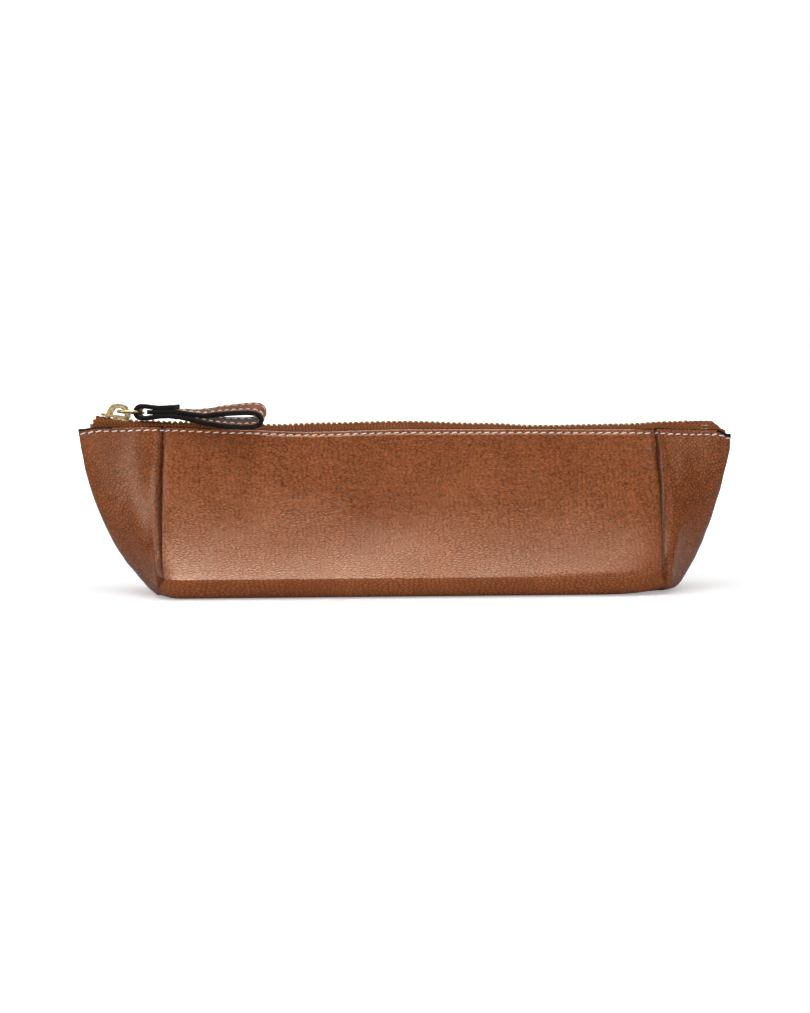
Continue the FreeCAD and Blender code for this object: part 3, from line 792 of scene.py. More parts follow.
# Gussets and their linings
for end, sign in ENDS:
    grid = [[gusset_point(sign, s, a) for s in LEATHER_ROWS] for a in GUSSET_COLUMNS]
    gusset = shell(end + "_gusset_leather", grid, 0.0, LEATHER, sign < 0, (GUSSET_LEATHER, FLESH, PAINT),
                   GUSSET_HIDE[sign], ROUND_TOP, GUSSET_GAP, painted=PAINTED_ENDS[sign],
                   seam=lambda i, j: (1 - abs(GUSSET_COLUMNS[i])) * GUSSET_HALF,
                   skive=lambda i, j: skived(LEATHER_ROWS[j], 1 - abs(GUSSET_COLUMNS[i])))
    on_body(gusset, "case", "case_leather", end + "_gusset")
    grid = [[gusset_point(sign, s, a) for s in LINING_ROWS] for a in GUSSET_COLUMNS]
    lining = shell(end + "_gusset_lining", grid, LINING_DEPTH, LINING, sign < 0, (COTTON,), gap=LINING_GAP)
    on_body(lining, "case", "lining", end + "_lining")
    flat_size(grid)

# Base: leather underneath, board, lining on top
BASE_X = 90.97
BASE_Y = 21.97
BASE_RIM = 0.1
BASE_RIM_REACH = 1.6
BOARD_X = 89.0
BOARD_Y = 21.6
BOARD_LOW = 1.55
BOARD_THICK = 1.4
BOARD_PULL = 4.0
BOARD_ROUND = 9.0
BOARD_POWER = 0.7
TRAY_FLOOR = 3.7
TRAY_HALF_Y = 24.2
TRAY_INSET = 0.14
TRAY_INSET_FROM = 70
TRAY_SIDE = (20.0, 5.5)
TRAY_END = (86, 2.5)
TRAY_COUNTS = (90, 40)
RUCK = 0.12
RUCK_LENGTHS = (25, 14)
RUCK_SEED = 5


def settled_grid(half_x, half_y, place):
    """Piece of the base, lying as the leather lies; its rims follow the panels' and gussets' columns."""
    grid = []
    for x in panel_columns(-HALF_PANEL, HALF_PANEL):
        flat = [Vector((x * half_x / HALF_PANEL, a * half_y, 0.0)) for a in GUSSET_COLUMNS]
        grid.append([settle(*place(p.x, p.y), 0.0, fold_share(0.0, p.y / BASE_Y)) for p in flat])
    return grid


def base_place(x, y):
    """Underside of the base, its rims a little off the floor."""
    rim = max(bell(BASE_X - abs(x), BASE_RIM_REACH), bell(BASE_Y - abs(y), BASE_RIM_REACH))
    return Vector((x, y, BASE_RIM * rim))


def board_place(x, y):
    """Underside of the board, its corners rounded off."""
    x_near = max(0.0, 1 - (BOARD_X - abs(x)) / BOARD_ROUND)
    y_near = max(0.0, 1 - (BOARD_Y - abs(y)) / BOARD_ROUND)
    pull = BOARD_PULL * (x_near * y_near) ** BOARD_POWER
    return Vector((x - math.copysign(pull, x), y - math.copysign(pull, y), BOARD_LOW))


def tray_place(x, y):
    """Lining on the base: rucked a little, turned up all round and drawn in at the corners."""
    inset = 1 - TRAY_INSET * smooth(TRAY_INSET_FROM, HALF_PANEL, abs(x))
    ruck = RUCK * noise.noise(Vector((x / RUCK_LENGTHS[0], y / RUCK_LENGTHS[1], RUCK_SEED)))
    turned = smooth(TRAY_SIDE[0], TRAY_HALF_Y, abs(y)) * TRAY_SIDE[1]
    turned += smooth(TRAY_END[0], HALF_PANEL, abs(x)) * TRAY_END[1]
    return Vector((x, y * inset, TRAY_FLOOR + ruck + turned))


base_grid = settled_grid(BASE_X, BASE_Y, base_place)
base = shell("base_leather", base_grid, 0.0, LEATHER, True, (PANEL_LEATHER, FLESH), BASE_HIDE)
on_body(base, "case", "case_leather", "base_panel")
board_grid = settled_grid(BOARD_X, BOARD_Y, board_place)
board = shell("base_board_sheet", board_grid, 0.0, BOARD_THICK, True, (BOARD,))
on_body(board, "case", "board", "base_board")
tray_columns = spread(-HALF_PANEL, HALF_PANEL, TRAY_COUNTS[0])
tray_rows = spread(-TRAY_HALF_Y, TRAY_HALF_Y, TRAY_COUNTS[1])
ruck_grid = [[tray_place(x, y) for y in tray_rows] for x in tray_columns]
base_lining = shell("base_lining_cloth", ruck_grid, 0.0, LINING, False, (COTTON,))
on_body(base_lining, "case", "lining", "base_lining")
flat_size(ruck_grid)

# Zip: tapes with a weave, meshed teeth and clipped stops, all following the chain's waves
TAPE_SKIRT = 7.0
TAPE_END_SKIRT = 2.0
TAPE_END_FROM = 110
TAPE_DEPTH = 1.65
TAPE_ROOM = 0.5
TAPE_TUCK = 4
TAPE_ENDS = {-1: -113.6, 1: 118.0}
TAPE_SLANT = 0.55
TAPE_SLANT_FROM = -108
TAPE_COUNTS = (236, 17)
TAPE_BUMP = 0.3
CORNER_WAVE = [(108, 0.0), (112, 0.0), (118, -3.4)]
TOOTH_PITCH = 2.0
FIRST_TOOTH = -107.04
TOOTH_COUNT = 106
ROW_LIFT = {True: 0.25, False: -0.3}
SLIDER_X = -106.5
SLIDER_REACH = 9.0
TOP_CLIP_PLACES = {True: Vector((-115.3, -0.3, 61.3)), False: Vector((-114.3, 0.2, 63.2))}
TOP_CLIP_TILT = 0.25
END_STOP_X = 109.7
END_CLIP_SINK = 1.7

# Knees of the tape: how far out at most and by share of the room, then heights off the chain and the edge
TOOTH_KNEE = (0.75, 0.3)
RIDGE_KNEE = (2.6, 0.55)
RIDGE_LIFT = 0.05
SHOULDER_KNEE = (4.3, 0.82)
SHOULDER_HELD = 4.1
SHOULDER_SHARE = 0.3
SHOULDER_LIFT = 0.1
SHOULDER_DROP = 0.35
EDGE_TUCK = 0.5
CHAIN_TUCK = 0.4
EDGE_HELD = (0.3, 0.15)


def chain_z(x):
    return CHAIN_Z + wave(CHAIN_WAVE, x) + wave(CORNER_WAVE, x)


def half_opening(x):
    """Half-width of the mouth at the leather's edge."""
    share = min(1.0, max(0.0, (abs(x) - HALF_PANEL) / (HALF_CASE - HALF_PANEL)))
    soft = FOLD_SOFT_TOP
    across = math.sqrt(max(0.0, (soft + (1 - share) * (math.hypot(1, soft) - soft)) ** 2 - soft ** 2))
    return HALF_MOUTH * across


def edge_height(x):
    share = max(0.0, (abs(x) - HALF_PANEL) / (HALF_CASE - HALF_PANEL))
    return mix(WALL_TOP, CORNER_TOP, share) + wave(EDGE_WAVE, x)


def knee(limits, room):
    return min(limits[0], room * limits[1])


def tape_line(x):
    """Front tape at x as points from the teeth over the ridge and down behind the leather."""
    level = chain_z(x)
    bump = TAPE_BUMP * abs(math.cos(math.pi * (x - FIRST_TOOTH) / TOOTH_PITCH))
    edge = edge_height(x)
    room = max(TAPE_ROOM, half_opening(x) - TAPE_DEPTH)
    skirt = mix(TAPE_SKIRT, TAPE_END_SKIRT, smooth(HALF_PANEL, TAPE_END_FROM, abs(x)))
    wall_y = wall_curve(edge_share(skirt), 0)[0]
    below = room + (wall_curve(1.0, 0)[0] - wall_y) * min(1.0, room / TAPE_TUCK)
    held = bell(x - SLIDER_X, SLIDER_REACH)
    shoulder = mix(mix(level, edge, SHOULDER_SHARE) + SHOULDER_LIFT, level - SHOULDER_DROP, held)
    tucked = mix(min(edge - EDGE_TUCK, level - CHAIN_TUCK), edge + EDGE_HELD[1], held)
    line = [
        (knee(TOOTH_KNEE, room), level + bump),
        (max(knee(RIDGE_KNEE, room), RIDGE_KNEE[0] * held), level + RIDGE_LIFT + bump),
        (max(knee(SHOULDER_KNEE, room), SHOULDER_HELD * held), shoulder),
        (room + EDGE_HELD[0] * held, tucked),
        (below, edge - skirt),
    ]
    return [Vector((x, -out, z)) for out, z in line]


def through(points, t):
    """Smooth curve through points, t from 0 to 1."""
    last = len(points) - 1
    place = t * last
    k = min(int(place), last - 1)
    f = place - k
    a = points[max(k - 1, 0)]
    b = points[k]
    c = points[k + 1]
    d = points[min(k + 2, last)]
    bent = 2 * b + (c - a) * f + (2 * a - 5 * b + 4 * c - d) * f ** 2
    return 0.5 * (bent + (3 * b - a - 3 * c + d) * f ** 3)


def tape_point(x, t):
    """Place on the front tape, whose left end is cut on a slant."""
    place = through(tape_line(x), t)
    slant = TAPE_SLANT * smooth(TAPE_SLANT_FROM, TAPE_ENDS[-1], x)
    place.x -= slant * max(0.0, chain_z(x) - place.z)
    return place


SHARP = math.radians(25)
BEVEL_PROFILE = 0.6


def bevelled(outline, length, bevel):
    """Mesh of a (Y, Z) outline pushed along X and rounded, as (points, faces)."""
    solid = bmesh.new()
    low = [solid.verts.new((-length / 2, y, z)) for y, z in outline]
    high = [solid.verts.new((length / 2, y, z)) for y, z in outline]
    count = len(outline)
    solid.faces.new(low)
    solid.faces.new(high[::-1])
    for k in range(count):
        solid.faces.new((low[k], high[k], high[(k + 1) % count], low[(k + 1) % count]))
    bmesh.ops.recalc_face_normals(solid, faces=solid.faces)
    sharp = [e for e in solid.edges if e.calc_face_angle(0) > SHARP]
    bmesh.ops.bevel(solid, geom=sharp, offset=bevel, segments=2, profile=BEVEL_PROFILE, affect="EDGES",
                    clamp_overlap=True)
    points = [v.co.copy() for v in solid.verts]
    solid.verts.index_update()
    faces = [[v.index for v in f.verts] for f in solid.faces]
    solid.free()
    return points, faces


def gather(name, copies, materials, angle=40, shade_copies=()):
    """One mesh from many (points, faces) pairs in mm; the shade copies, painted shade such as at needle
    holes, take the second material.
    """
    points = []
    faces = []
    for some_points, some_faces in list(copies) + list(shade_copies):
        base_index = len(points)
        points.extend(p * MM for p in some_points)
        faces.extend([base_index + k for k in f] for f in some_faces)
    light_faces = sum(len(c[1]) for c in copies)
    mesh = bpy.data.meshes.new(name)
    mesh.from_pydata(points, [], faces)
    for polygon in mesh.polygons:
        polygon.material_index = 0 if polygon.index < light_faces else 1
    smooth_faces(mesh, angle)
    return new_object(name, mesh, materials)


TOOTH_OUTLINE = [
    (-2.25, -0.8), (-0.9, -0.8), (-0.5, -0.62), (0.1, -0.62), (0.3, -0.8), (0.55, -0.5), (0.55, 0.5),
    (0.3, 0.8), (0.1, 0.62), (-0.5, 0.62), (-0.9, 0.8), (-2.25, 0.8), (-2.25, 0.32), (-0.95, 0.32),
    (-0.95, -0.32), (-2.25, -0.32),
]
CLIP_OUTLINE = [
    (-2.3, -0.85), (-0.5, -0.85), (-0.25, -0.5), (-0.25, 0.5), (-0.5, 0.85), (-2.3, 0.85), (-2.3, 0.35),
    (-0.95, 0.35), (-0.95, -0.35), (-2.3, -0.35),
]
CLIP_BEVEL = 0.2
TOP_CLIP_SCALE = (0.6, 0.7)
TOP_CLIP_OUTLINE = [(TOP_CLIP_SCALE[0] * y, TOP_CLIP_SCALE[1] * z) for y, z in CLIP_OUTLINE]
TOOTH_LENGTH = 0.92
TOP_CLIP_LENGTH = 1.2
END_CLIP_LENGTH = 2.4
TOOTH = bevelled(TOOTH_OUTLINE, TOOTH_LENGTH, CLIP_BEVEL)
TOP_CLIP = bevelled(TOP_CLIP_OUTLINE, TOP_CLIP_LENGTH, CLIP_BEVEL)
END_CLIP = bevelled(CLIP_OUTLINE, END_CLIP_LENGTH, CLIP_BEVEL)


def placed(copy, place, front, tilt=0.0):
    """Copy of a piece at a place, mirrored for the back."""
    turn = Euler((tilt, 0, 0)).to_matrix()
    points = [mirror_back(turn @ p, front) + place for p in copy[0]]
    faces = copy[1] if front else [f[::-1] for f in copy[1]]
    return points, faces


for side, front in SIDES:
    tooth_places = [FIRST_TOOTH + TOOTH_PITCH * (k if front else k + 0.5) for k in range(TOOTH_COUNT)]
    for end, sign in ENDS:
        stations = sorted(spread(0, TAPE_ENDS[sign], TAPE_COUNTS[0]))
        steps = spread(0, 1, TAPE_COUNTS[1])
        grid = [[mirror_back(tape_point(x, t), front) for t in steps] for x in stations]
        tape = shell(side + "_zip_tape_" + end, grid, -TAPE / 2, TAPE, front, (TAPE_WEAVE,))
        on_wall(tape, side, sign, "zip_tape", side + "_zip_tape")
        flat_size(grid)
        own = [Vector((x, 0, chain_z(x) + ROW_LIFT[front])) for x in tooth_places if x * sign > 0]
        row = gather(side + "_zip_teeth_" + end, [placed(TOOTH, place, front) for place in own], (BRASS,))
        on_wall(row, side, sign, "zip_metal", side + "_zip_teeth")
    clip = placed(TOP_CLIP, TOP_CLIP_PLACES[front], front, TOP_CLIP_TILT)
    on_wall(gather(side + "_top_clip", [clip], (BRASS,)), side, -1, "zip_metal", side + "_top_stop")
end_place = Vector((END_STOP_X, 0, chain_z(END_STOP_X) - END_CLIP_SINK))
end_clips = [placed(END_CLIP, end_place, front) for side, front in SIDES]
on_body(gather("bottom_clip", end_clips, (BRASS,)), "case", "zip_metal", "bottom_stop")

# Stitches: arched lengths of thread that dive into the leather at both ends
STITCH_PITCH = 2.98
STITCH_LENGTH = 2.4
STITCH_SLANT = 0.17
STITCH_TURNS = 0.05
STITCH_SIZES = (0.93, 1.05)
THREAD_RADIUS = 0.21
THREAD_RINGS = 9
THREAD_SIDES = 8
THREAD_ARCH = (0.75, 1.5)
THREAD_TAPER = 0.35
THREAD_FLAT = 0.8
THREAD_ANGLE = 60
# Needle holes: dark marks of edge paint between the stitches, painted shade in the holes
HOLE_RISE = 0.02
HOLE_SINK = 0.5
HOLE_LENGTH = 2.2
SEAM_STATIONS = 120
SEAM_STEP = 0.2
SEAM_ROW_STEP = 0.004
GUSSET_SEAM_STEP = 0.01
GUSSET_RUNS = ((-1.0, -0.04), (0.04, 1.0))
GUSSET_SEED = 7


def thread_run(centre, along, out, length, radius):
    """Arched length of thread, as (points, faces)."""
    side = along.cross(out).normalized()
    points = []
    for k in range(THREAD_RINGS):
        a = 2 * k / (THREAD_RINGS - 1) - 1
        lift = radius * (THREAD_ARCH[0] - THREAD_ARCH[1] * a * a)
        middle = centre + along * (a * length / 2) + out * lift
        thin = radius * (1 - THREAD_TAPER * a * a)
        for m in range(THREAD_SIDES):
            turn = 2 * math.pi * m / THREAD_SIDES
            high = thin * THREAD_FLAT * math.sin(turn)
            points.append(middle + side * (thin * math.cos(turn)) + out * high)
    around = list(range(THREAD_SIDES))
    faces = [around[::-1], [(THREAD_RINGS - 1) * THREAD_SIDES + m for m in around]]
    for k in range(THREAD_RINGS - 1):
        here = k * THREAD_SIDES
        after = here + THREAD_SIDES
        for m in around:
            n = (m + 1) % THREAD_SIDES
            faces.append([here + m, here + n, after + n, after + m])
    return points, faces


def stitch_row(line, pitch, length, slant, radius, seed):
    """Stitches and dark marks of painted shade in the needle holes between them, along a line of (point,
    outward) pairs.
    """
    dice = random.Random(seed)
    runs = []
    hole_shades = []
    travelled = 0.0
    due = pitch / 2
    for (a, out_a), (b, out_b) in zip(line, line[1:]):
        step = (b - a).length
        while step > 0 and due <= travelled + step:
            share = (due - travelled) / step
            out = out_a.lerp(out_b, share).normalized()
            along = (b - a).normalized()
            up = out.cross(along)
            turn = slant + dice.uniform(-STITCH_TURNS, STITCH_TURNS)
            heading = (along * math.cos(turn) + up * math.sin(turn)).normalized()
            size = length * dice.uniform(*STITCH_SIZES)
            here = a.lerp(b, share)
            runs.append(thread_run(here, heading, out, size, radius))
            # Dark mark at the needle hole: painted shade
            hole = here + heading * (pitch / 2) + out * (HOLE_RISE - radius * HOLE_SINK)
            hole_shades.append(thread_run(hole, along, out, radius * HOLE_LENGTH, radius))
            due += pitch
        travelled += step
    return runs, hole_shades


def seam_line(stations, step, limit, row_at, point_at, sign):
    """Sewn line over (place, row) points of a leather face, as (point, outward) pairs."""
    line = []
    for place in stations:
        row = row_at(place)
        along = point_at(min(limit, place + step), row) - point_at(max(-limit, place - step), row)
        up = point_at(place, row + SEAM_ROW_STEP) - point_at(place, row - SEAM_ROW_STEP)
        line.append((point_at(place, row), along.cross(up).normalized() * sign))
    return line


def leather_stitches(line, seed):
    return stitch_row(line, STITCH_PITCH, STITCH_LENGTH, STITCH_SLANT, THREAD_RADIUS, seed)


for seed, (side, front) in enumerate(SIDES):
    for end, sign in ENDS:
        line = seam_line(
            spread(*HALVES[sign], SEAM_STATIONS), SEAM_STEP, HALF_CASE,
            lambda x: edge_share(wave(STITCH_DROPS, x)), lambda x, row: panel_point(x, row, front),
            1 if front else -1,
        )
        runs, hole_shades = leather_stitches(line, seed)
        piece = gather(side + "_stitches_" + end, runs, (THREAD, PAINT), THREAD_ANGLE, hole_shades)
        on_wall(piece, side, sign, "thread", side + "_top_stitching")
for end, sign in ENDS:
    runs = []
    hole_shades = []
    for low, high in GUSSET_RUNS:
        line = seam_line(
            spread(low, high, SEAM_STATIONS), GUSSET_SEAM_STEP, 1,
            lambda a: edge_share(wave(STITCH_DROPS, sign * mix(HALF_PANEL, HALF_CASE, fold_share(1.0, a)))),
            lambda a, row: gusset_point(sign, row, a), sign,
        )
        row = leather_stitches(line, GUSSET_SEED)
        runs += row[0]
        hole_shades += row[1]
    piece = gather(end + "_gusset_stitches", runs, (THREAD, PAINT), THREAD_ANGLE, hole_shades)
    on_body(piece, "case", "thread", end + "_gusset_stitching")

# Pull strap: one strip from its end on the neck, round the eye, out along the loop and back into the neck
STRAP = 1.65
STRAP_WIDTH = 6.5
STRAP_YAW = math.radians(16)
STRAP_PITCH = math.radians(0.8)
STRAP_EYE = Vector((-96.968, -3.389, 66.2))
STRAP_TURNS = [(6, -3), (13, 1), (18, 7), (24, 17), (30, 21), (36, 24), (44, 29)]
STRAP_TWIST = [(x, math.radians(degrees)) for x, degrees in STRAP_TURNS]
STRAP_SLACK = 0.5
STRAP_SAMPLES = 190
EYE = 2.2
NECK_PATH = [(12.8, 1.6), (9.0, 1.62), (5.0, 1.62), (2.4, 1.95)]
EYE_TURNS = [math.radians(degrees) for degrees in range(90, 271, 30)]
EYE_PATH = [(EYE * math.cos(turn), EYE * math.sin(turn)) for turn in EYE_TURNS]
LOOP_PATH = [
    (2.4, -2.0), (5.0, -1.62), (8.0, -1.55), (11.0, -1.6), (14.2, -1.95), (17.5, -2.6), (20.5, -3.4),
    (23.5, -4.15), (27.3, -4.8), (31.0, -5.3), (35.6, -5.65), (39.6, -5.75), (42.1, -5.5), (43.9, -4.7),
    (44.5, -3.4), (44.1, -2.1), (43.0, -1.15), (41.2, -0.7), (38.5, -0.58), (34.8, -0.7), (31.0, -0.9),
    (27.3, -1.15), (23.2, -1.55), (18.7, -0.95), (14.5, -0.25), (12.0, 0.0), (8.0, 0.0), (2.2, 0.0),
]
STRAP_BANDS = [-1.0, -0.97, -0.9, -0.7, -0.5, -0.25, 0.0, 0.25, 0.5, 0.7, 0.9, 0.97, 1.0]
BAND_SOFTNESS = {1.0: 0.85, 0.97: 0.97}
PAINT_BAND = 0.92
SUEDE_BAND = 0.3
STRAP_ANGLE = 55
STRAP_SEAM = 0.56
STRAP_SEAM_ENDS = (31.0, 10.5)
STRAP_STITCH_PITCH = 2.65
STRAP_STITCH_LENGTH = 1.9
STRAP_THREAD = 0.2
STRAP_SEED = 11


def strap_place(local):
    """Puts a place of the flat-drawn strap (x along, y across, z up) where it hangs."""
    twist = wave(STRAP_TWIST, local.x)
    lower = math.sin(twist) * STRAP_WIDTH / 2
    across = Vector((local.x, local.y * math.cos(twist), local.z + local.y * math.sin(twist) + lower))
    pitched = Euler((0, -STRAP_PITCH, 0)).to_matrix() @ across
    return Euler((0, 0, -STRAP_YAW)).to_matrix() @ pitched + STRAP_EYE


def strap_frames():
    """Centre, outward direction and running length of each sample of the strip."""
    points = [Vector((x + STRAP_SLACK, 0, z)) for x, z in NECK_PATH + EYE_PATH + LOOP_PATH]
    samples = [through(points, t) for t in spread(0, 1, STRAP_SAMPLES)]
    frames = []
    run = 0.0
    for k, centre in enumerate(samples):
        ahead = samples[min(k + 1, len(samples) - 1)]
        behind = samples[max(k - 1, 0)]
        along = (ahead - behind).normalized()
        run += (centre - behind).length
        frames.append((centre, Vector((along.z, 0, -along.x)), run))
    return frames


STRAP_FRAMES = strap_frames()
STRAP_LENGTH = STRAP_FRAMES[-1][2]


def strap_kind(band, outer):
    """Material of a strip of the strap: paint at the edges, suede in the middle of the inner face."""
    if abs(band) > PAINT_BAND:
        return PAINTED_EDGE
    return GRAIN_SIDE if outer or abs(band) > SUEDE_BAND else INNER_SIDE


def strap_mesh():
    """Strip with rounded painted edges."""
    points = []
    places = []
    faces = []
    kinds = []
    loop = [(1, band) for band in STRAP_BANDS] + [(-1, band) for band in STRAP_BANDS[::-1]]
    ring = len(loop)
    for centre, out, run in STRAP_FRAMES:
        for face, band in loop:
            thick = STRAP / 2 * BAND_SOFTNESS.get(abs(band), 1.0) * face
            across = band * STRAP_WIDTH / 2
            points.append(strap_place(centre + out * thick + Vector((0, across, 0))) * MM)
            places.append(((STRAP_HIDE + run) * MM, across * MM))
    for k in range(len(STRAP_FRAMES) - 1):
        for m in range(ring):
            n = (m + 1) % ring
            faces.append((k * ring + m, k * ring + n, (k + 1) * ring + n, (k + 1) * ring + m))
            kinds.append(strap_kind((loop[m][1] + loop[n][1]) / 2, loop[m][0] > 0))
    last = (len(STRAP_FRAMES) - 1) * ring
    faces.append(tuple(range(ring))[::-1])
    faces.append(tuple(last + m for m in range(ring)))
    kinds += [PAINTED_EDGE, PAINTED_EDGE]
    mesh = bpy.data.meshes.new("strap_leather_strip")
    mesh.from_pydata(points, [], faces)
    textured(mesh, kinds, places, PAINTED_EDGE, STRAP_ANGLE)
    mark_shade(mesh, [1.0] * len(points))
    return new_object("strap_leather_strip", mesh, (STRAP_LEATHER, SUEDE, PAINT))


def strap_seam(band, face):
    """Sewn line on the strap's outer (1) or inner (-1) face."""
    line = []
    for centre, out, run in STRAP_FRAMES:
        if STRAP_SEAM_ENDS[0] <= run <= STRAP_LENGTH - STRAP_SEAM_ENDS[1]:
            middle = centre + Vector((0, band * STRAP_WIDTH / 2, 0))
            skin = strap_place(middle + out * (STRAP / 2 * face))
            line.append((skin, (skin - strap_place(middle)).normalized()))
    return line


on_body(strap_mesh(), "pull", "strap_leather", "pull_strap")
runs = []
for band in (-STRAP_SEAM, STRAP_SEAM):
    for face in (1, -1):
        line = strap_seam(band, face)
        runs += stitch_row(line, STRAP_STITCH_PITCH, STRAP_STITCH_LENGTH, 0.0, STRAP_THREAD, STRAP_SEED)[0]
strap_stitches = gather("strap_stitches", runs, (THREAD,), THREAD_ANGLE)
on_body(strap_stitches, "pull", "thread", "pull_strap_stitching")

# Slider: two plates, flanges and a post under a round arch with a ridged crown
SLIDER_LIFT = 0.3
SLIDER_PLACE = Vector((SLIDER_X, 0, CHAIN_Z + SLIDER_LIFT))
SLIDER_TILT = math.radians(8)
PLATE_OUTLINE = [
    (-5.6, -2.0), (-4.2, -3.5), (3.4, -3.5), (4.8, -2.8), (4.8, 2.8), (3.4, 3.5), (-4.2, 3.5), (-5.6, 2.0),
]
FLANGE_OUTLINE = [(-1.2, -3.5), (3.4, -3.5), (4.6, -2.9), (4.6, -2.3), (3.2, -2.85), (-1.2, -2.85)]
POST_OUTLINE = [(-4.2, -0.7), (-2.6, -1.0), (-2.0, 0.0), (-2.6, 1.0), (-4.2, 0.7)]
LOWER_PLATE = 0.5
# Outline, lower and upper height and bevel of each part of the slider
SLIDER_PARTS = [
    (PLATE_OUTLINE, 1.0, 1.75, 0.25),
    ([(x, LOWER_PLATE * y) for x, y in PLATE_OUTLINE], -1.75, -1.0, 0.25),
    (FLANGE_OUTLINE, -0.3, 1.1, 0.15),
    ([(x, -y) for x, y in FLANGE_OUTLINE[::-1]], -0.3, 1.1, 0.15),
    (POST_OUTLINE, -1.1, 1.1, 0.12),
]
BRIDGE_X = 0.7
BRIDGE_HOLE_SHIFT = 0.1
BRIDGE_BASE = 1.3
BRIDGE_WIDTH = 2.8
BRIDGE_BEVEL = 0.4
RIDGES = slice(7, 18)
RIDGE_LENGTH = 2.0
RIDGE_RADIUS = 0.24


def rounded(turn, power):
    """Cosine and sine of a turn, swollen towards a square."""
    return [math.copysign(abs(part) ** power, part) for part in (math.cos(turn), math.sin(turn))]


def arch_line(centre, half, height, power, count):
    turns = [rounded(turn, 2 / power) for turn in spread(math.pi, 0, count)]
    return [(centre + half * c, BRIDGE_BASE + height * abs(sine)) for c, sine in turns]


def slab(outline, low, high, bevel):
    """Plate of an (X, Y) outline between two heights."""
    points, faces = bevelled(outline, high - low, bevel)
    return [Vector((p.y, p.z, p.x + (low + high) / 2)) for p in points], faces


def tilted(copy):
    """Copy of a piece drawn level, set on the tilted slider."""
    turn = Euler((0, SLIDER_TILT, 0)).to_matrix()
    return [turn @ p + SLIDER_PLACE for p in copy[0]], copy[1]


plates = gather("slider_plates", [tilted(slab(*part)) for part in SLIDER_PARTS], (BRASS,))
on_body(plates, "slider", "zip_metal", "slider_body")
outer = arch_line(BRIDGE_X, half=4.5, height=4.55, power=2.3, count=25)
inner = arch_line(BRIDGE_X + BRIDGE_HOLE_SHIFT, half=2.1, height=3.1, power=2.4, count=17)
arch_points, arch_faces = bevelled(outer + inner[::-1], BRIDGE_WIDTH, BRIDGE_BEVEL)
arch = [tilted(([Vector((p.y, p.x, p.z)) for p in arch_points], [f[::-1] for f in arch_faces]))]
for x, z in outer[RIDGES]:
    rise = Vector((x - BRIDGE_X, 0, z - BRIDGE_BASE)).normalized()
    arch.append(tilted(thread_run(Vector((x, 0, z)), Vector((0, 1, 0)), rise, RIDGE_LENGTH, RIDGE_RADIUS)))
on_body(gather("slider_arch", arch, (BRASS,)), "slider", "zip_metal", "slider_bridge")

# Pull ring: a bent wire, level and seen on edge
RING_NEAR = Vector((-105.2, -0.15, 66.03))
RING_FAR = Vector((-97.0, -3.38, 66.0))
RING_HALF_WIDTH = 4.4
RING_WIRE = 0.52
RING_ROLL = math.radians(-6)
RING_POWER = 0.75
RING_STEPS = 64
RING_SIDES = 12
RING_ANGLE = 60


def ring_mesh():
    centre = (RING_NEAR + RING_FAR) / 2
    half = (RING_FAR - RING_NEAR).length / 2
    along = (RING_FAR - RING_NEAR).normalized()
    flat = Vector((0, 0, 1)).cross(along).normalized()
    across = flat * math.cos(RING_ROLL) + Vector((0, 0, 1)) * math.sin(RING_ROLL)
    up = along.cross(across)
    line = []
    for k in range(RING_STEPS):
        c, sine = rounded(2 * math.pi * k / RING_STEPS, RING_POWER)
        line.append(centre + along * (half * c) + across * (RING_HALF_WIDTH * sine))
    points = []
    faces = []
    for k, here in enumerate(line):
        heading = (line[(k + 1) % RING_STEPS] - line[k - 1]).normalized()
        side = heading.cross(up)
        first = k * RING_SIDES
        after = (k + 1) % RING_STEPS * RING_SIDES
        for m in range(RING_SIDES):
            turn = 2 * math.pi * m / RING_SIDES
            points.append(here + side * (RING_WIRE * math.cos(turn)) + up * (RING_WIRE * math.sin(turn)))
            n = (m + 1) % RING_SIDES
            faces.append([first + m, after + m, after + n, first + n])
    return points, faces


on_body(gather("pull_link_ring", [ring_mesh()], (BRASS,), RING_ANGLE), "pull_link", "zip_metal", "pull_ring")

# Stage: a floor that is white to the camera and keeps the shadow
FLOOR = 3.0
FLOOR_Z = -0.0002
FLOOR_GREY = 0.82
FLOOR_GLOSS = 0.34
FLOOR_ROUGH = 0.9
FLOOR_GLOW = [(0.12, 0.32), (0.75, 1.0)]
WHITE = (1, 1, 1, 1)
floor_mesh = bpy.data.meshes.new("floor")
floor_corners = ((-FLOOR, -FLOOR), (FLOOR, -FLOOR), (FLOOR, FLOOR), (-FLOOR, FLOOR))
floor_mesh.from_pydata([(x, y, FLOOR_Z) for x, y in floor_corners], [], [(0, 1, 2, 3)])
FLOOR_WHITE, tree, shader = material("floor_white")
shader.inputs["Roughness"].default_value = FLOOR_ROUGH
shader.inputs["Emission Color"].default_value = WHITE
rays = node(tree, "ShaderNodeLightPath")
glow = ramp(tree, vectors(tree, "LENGTH", coordinates(tree, "Object"), out="Value"), FLOOR_GLOW)
feed(tree, shader.inputs["Emission Strength"], maths(tree, "MULTIPLY", glow, rays.outputs["Is Camera Ray"]))
pale = blend_colour(tree, rays.outputs["Is Glossy Ray"], grey(FLOOR_GREY), grey(FLOOR_GLOSS))
feed(tree, shader.inputs["Base Color"], pale)
floor = new_object("floor", floor_mesh, (FLOOR_WHITE,))

# World: white to the camera; reflections see a backdrop low behind, a dim room and patches of light
DIFFUSE_ROOM = 0.62
ROOM_GLOSS = 0.08
CEILING_GLOSS = 0.3
KEY_GLOSS = 23.0
FRONT_GLOSS = 1.1
WINDOW_GLOSS = 1.1
WINDOW_AIM = (-0.80, -0.36, 0.48)
world = bpy.data.worlds.new("studio")
bpy.context.scene.world = world
world.use_nodes = True
room = world.node_tree
background = room.nodes["Background"]
background.inputs["Color"].default_value = WHITE
rays = node(room, "ShaderNodeLightPath")
heading = coordinates(room, "Generated")
aim = node(room, "ShaderNodeSeparateXYZ", {"Vector": heading}).outputs


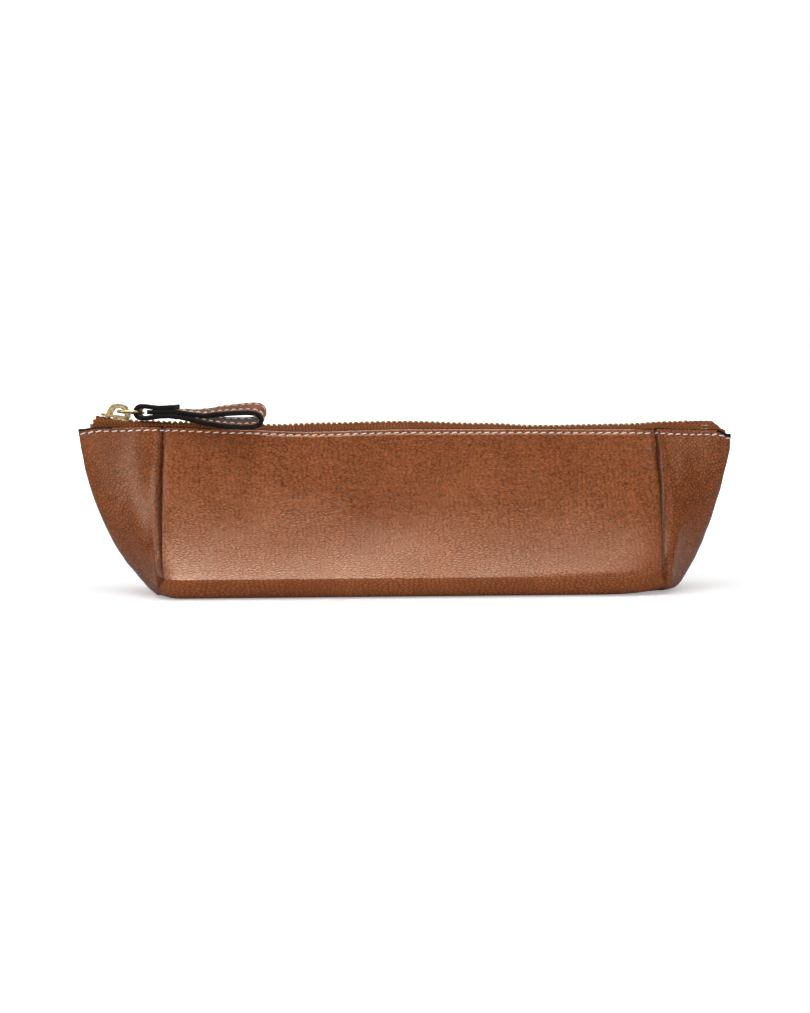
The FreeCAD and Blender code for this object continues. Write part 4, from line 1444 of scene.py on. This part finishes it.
def fade(value, low, high, start, end):
    """Smooth step of a value in the room, from start at low to end at high."""
    inputs = {"Value": value, "From Min": low, "From Max": high, "To Min": start, "To Max": end}
    return node(room, "ShaderNodeMapRange", inputs, interpolation_type="SMOOTHSTEP").outputs["Result"]


def times(first, *others):
    for other in others:
        first = maths(room, "MULTIPLY", first, other)
    return first


backdrop = times(fade(aim["Z"], 0.3, 0.6, 1.0, 0.0), fade(aim["Y"], 0.1, 0.5, 0.0, 1.0))
ceiling = fade(aim["Z"], 0.6, 0.9, ROOM_GLOSS, CEILING_GLOSS)
overhead = fade(aim["Z"], 0.735, 0.93, 0.0, KEY_GLOSS)
leftward = fade(aim["X"], -0.02, 0.16, 1.0, 0.4)
sideways = fade(aim["X"], -0.6, -0.2, 0.1, 1.0)
in_front = fade(aim["Y"], -0.2, 0.0, 1.0, 0.0)
card = times(fade(aim["Y"], -0.95, -0.6, FRONT_GLOSS, 0.0), fade(aim["Z"], 0.15, 0.4, 1.0, 0.0))
toward = vectors(room, "DOT_PRODUCT", heading, WINDOW_AIM, "Value")
gloss = times(overhead, leftward, sideways, in_front)
for patch in (backdrop, ceiling, card, fade(toward, 0.88, 0.99, 0.0, WINDOW_GLOSS)):
    gloss = maths(room, "MAXIMUM", gloss, patch)
lit = blend_colour(room, rays.outputs["Is Glossy Ray"], grey(DIFFUSE_ROOM), gloss)
direct = maths(room, "MAXIMUM", rays.outputs["Is Camera Ray"], rays.outputs["Is Transmission Ray"])
feed(room, background.inputs["Strength"], blend_colour(room, direct, lit, grey(1.0)))

# Lamps: place, target, size, power and whether reflections show the lamp itself
LAMPS = {
    "softbox_key": ((-0.22, -0.50, 1.15), (0, -0.02, 0.02), (1.3, 1.0), 4.0, False),
    "softbox_left": ((-0.80, -0.52, 0.36), (-0.09, 0, 0.03), (0.45, 0.4), 1.7, True),
    "softbox_low": ((0.0, -1.3, 0.12), (0, 0, 0.0), (1.6, 0.3), 12.4, False),
    "softbox_right": ((0.75, -0.75, 0.40), (0.1, 0, 0.04), (0.4, 0.4), 0.6, True),
}
for name, (place, target, size, power, mirrored) in LAMPS.items():
    light = bpy.data.lights.new(name, "AREA")
    light.shape = "RECTANGLE"
    light.size = size[0]
    light.size_y = size[1]
    light.energy = power
    holder = new_object(name, light, ())
    holder.location = place
    holder.visible_glossy = mirrored
    holder.rotation_euler = (Vector(target) - Vector(place)).to_track_quat("-Z", "Y").to_euler()

# Camera, from the photo: a little to the left and above, 1.1 m away
CAMERA_TURN = math.radians(-5)
CAMERA_REACH = 1.1
CAMERA_HEIGHT = 0.120
CAMERA_AIM = Vector((-0.001, 0.0, 0.0308))
CAMERA_LENS = 133.5
CAMERA_SENSOR = 36.0
camera_data = bpy.data.cameras.new("camera")
camera_data.sensor_fit = "HORIZONTAL"
camera_data.sensor_width = CAMERA_SENSOR
camera_data.lens = CAMERA_LENS
camera = new_object("camera", camera_data, ())
camera.location = (
    CAMERA_AIM.x + CAMERA_REACH * math.sin(CAMERA_TURN),
    CAMERA_AIM.y - CAMERA_REACH * math.cos(CAMERA_TURN),
    CAMERA_HEIGHT,
)
camera.rotation_euler = (CAMERA_AIM - camera.location).to_track_quat("-Z", "Y").to_euler()
bpy.context.scene.camera = camera
bpy.context.scene.view_settings.view_transform = "Standard"
